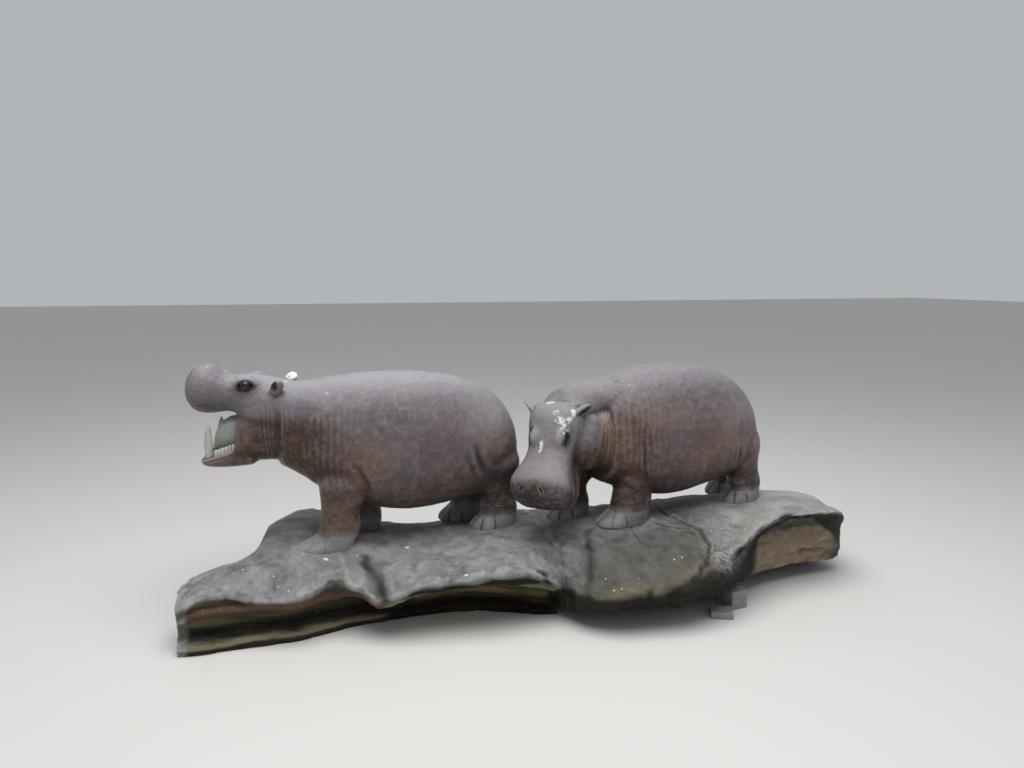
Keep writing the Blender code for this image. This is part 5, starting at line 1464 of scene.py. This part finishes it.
def tongue_look():
    k = Look("tongue_paint")
    patch = k.noise(26, 4, 0.6)
    colour = k.mix(patch, (0.215, 0.240, 0.225), (0.400, 0.430, 0.420))
    # painted shade in the tongue's grooves
    colour = k.mix(k.span(k.field("cavity"), -0.05, -0.8, 0.0, 0.75), colour, (0.05, 0.045, 0.04))
    normal = k.bump(k.math("ADD", k.noise(220, 3, 0.6), k.noise(60, 3, 0.6)), 0.35, 0.0012)
    return k.finish(colour, k.span(patch, 0.3, 0.7, 0.26, 0.42), normal)


def eye_look():
    k = Look("eye_gloss")
    gaze = k.field("gaze")
    node = k.tree.nodes.new("ShaderNodeValToRGB")
    k.put(gaze, node.inputs[0])
    ramp = node.color_ramp
    stops = [(0.0, (0.004, 0.003, 0.003)), (0.085, (0.004, 0.003, 0.003)), (0.105, (0.050, 0.026, 0.014)), (0.19, (0.028, 0.015, 0.010)), (0.22, (0.012, 0.009, 0.008)), (1.0, (0.050, 0.042, 0.038))]
    while len(ramp.elements) < len(stops):
        ramp.elements.new(0.5)
    for element, (at, tint) in zip(ramp.elements, stops):
        element.position, element.color = at, (*tint, 1.0)
    colour = k.mix(k.span(k.noise(400, 3, 0.6), 0.5, 0.7, 0.0, 0.4), node.outputs[0], (0.016, 0.010, 0.008))
    rough = k.span(k.noise(120, 2, 0.5), 0.3, 0.7, 0.13, 0.20)
    return k.finish(colour, rough, None, Specular_IOR_Level=0.35)


def concrete_look():
    k = Look("block_concrete")
    patch, grain = k.noise(24, 5, 0.65), k.noise(260, 3, 0.6)
    colour = k.mix(patch, (0.165, 0.158, 0.142), (0.300, 0.293, 0.275))
    colour = k.mix(k.span(grain, 0.52, 0.72, 0.0, 0.6), colour, (0.34, 0.33, 0.31))
    # painted shade in the pits
    colour = k.mix(k.span(k.field("cavity"), -0.1, -0.8, 0.0, 0.7), colour, (0.045, 0.042, 0.036))
    normal = k.bump(grain, 0.5, 0.0016, k.bump(patch, 0.4, 0.004))
    return k.finish(colour, k.span(patch, 0.3, 0.7, 0.80, 0.94), normal)


HIDE, ROCK, IVORY, TONGUE, EYE, CONCRETE = hide_paint(), rock_paint(), ivory_look(), tongue_look(), eye_look(), concrete_look()


def placed(obj, look, slot, *nodes):
    """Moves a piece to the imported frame, gives it its look and its place on the object."""
    points, _ = coordinates(obj)
    place_points(obj, points + SHIFT)
    obj.data.materials.clear()
    obj.data.materials.append(look)
    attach(obj, "root")
    if nodes:
        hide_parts(*nodes)
    return obj


placed(skin_a, HIDE, "hippo_a_trunk", "hippo_a_trunk", "hippo_a_neck", "hippo_a_head", "hippo_a_lower_jaw", "hippo_a_leg_front_left", "hippo_a_leg_front_right", "hippo_a_leg_rear_left", "hippo_a_leg_rear_right", "hippo_a_tail", "hippo_a_ear_left", "hippo_a_ear_right")
placed(skin_b, HIDE, "hippo_b", "hippo_b")
for (tag, side), obj in eyes.items():
    word = "left" if side > 0 else "right"
    if tag == "a":
        placed(obj, EYE, "hippo_a_eye_" + word, "hippo_a_eye_" + word)
    else:
        placed(obj, EYE, "hippo_a_eye_" + word)
for side, obj in tusks.items():
    word = "left" if side > 0 else "right"
    placed(obj, IVORY, "hippo_a_tusk_" + word, "hippo_a_tusk_" + word)
placed(teeth, IVORY, "hippo_a_tusk_left")
placed(tongue, TONGUE, "hippo_a_tongue", "hippo_a_tongue")
placed(rock_left_skin, ROCK, "rock_left", "rock_left")
placed(rock_right_skin, ROCK, "rock_right", "rock_right")
for word, obj in blocks.items():
    placed(obj, CONCRETE, "packing_block_" + word, "packing_block_" + word)


# ---- floor, light and camera ----
def floor_look():
    k = Look("floor")
    colour = k.mix(k.noise(0.7, 3, 0.5), (0.60, 0.59, 0.575), (0.63, 0.62, 0.605))
    return k.finish(colour, 0.85)


floor = mesh_object("floor", [(-40, -40, -0.0006), (40, -40, -0.0006), (40, 40, -0.0006), (-40, 40, -0.0006)], [(0, 1, 2, 3)])
bpy.context.scene.collection.objects.link(floor)
floor.data.materials.append(floor_look())

world = bpy.data.worlds.new("studio")
bpy.context.scene.world = world
world.use_nodes = True
background = world.node_tree.nodes["Background"]
background.inputs["Color"].default_value = (0.92, 0.96, 1.0, 1.0)
background.inputs["Strength"].default_value = 0.48


def softbox(name, at, toward, size, power, tint):
    data = bpy.data.lights.new(name, "AREA")
    data.shape, data.size, data.energy, data.color = "DISK", size, power, tint
    obj = bpy.data.objects.new(name, data)
    obj.location = at
    obj.rotation_euler = (Vector(toward) - Vector(at)).to_track_quat("-Z", "Y").to_euler()
    bpy.context.scene.collection.objects.link(obj)
    return obj


softbox("overhead", (-0.6, -1.2, 5.2), (0.0, 0.1, 0.6), 5.0, 300.0, (1.0, 0.99, 0.97))

camera_data = bpy.data.cameras.new("camera")
camera_data.sensor_width, camera_data.lens = 36.0, 27.035
camera_data.clip_end = 200.0
camera = bpy.data.objects.new("camera", camera_data)
camera.location = (-1.12048504, -3.41949258, 1.55)
camera.rotation_euler = (math.radians(81.9325), 0.0, math.radians(-16.0))
bpy.context.scene.collection.objects.link(camera)
bpy.context.scene.camera = camera
bpy.context.scene.view_settings.view_transform = "Standard"
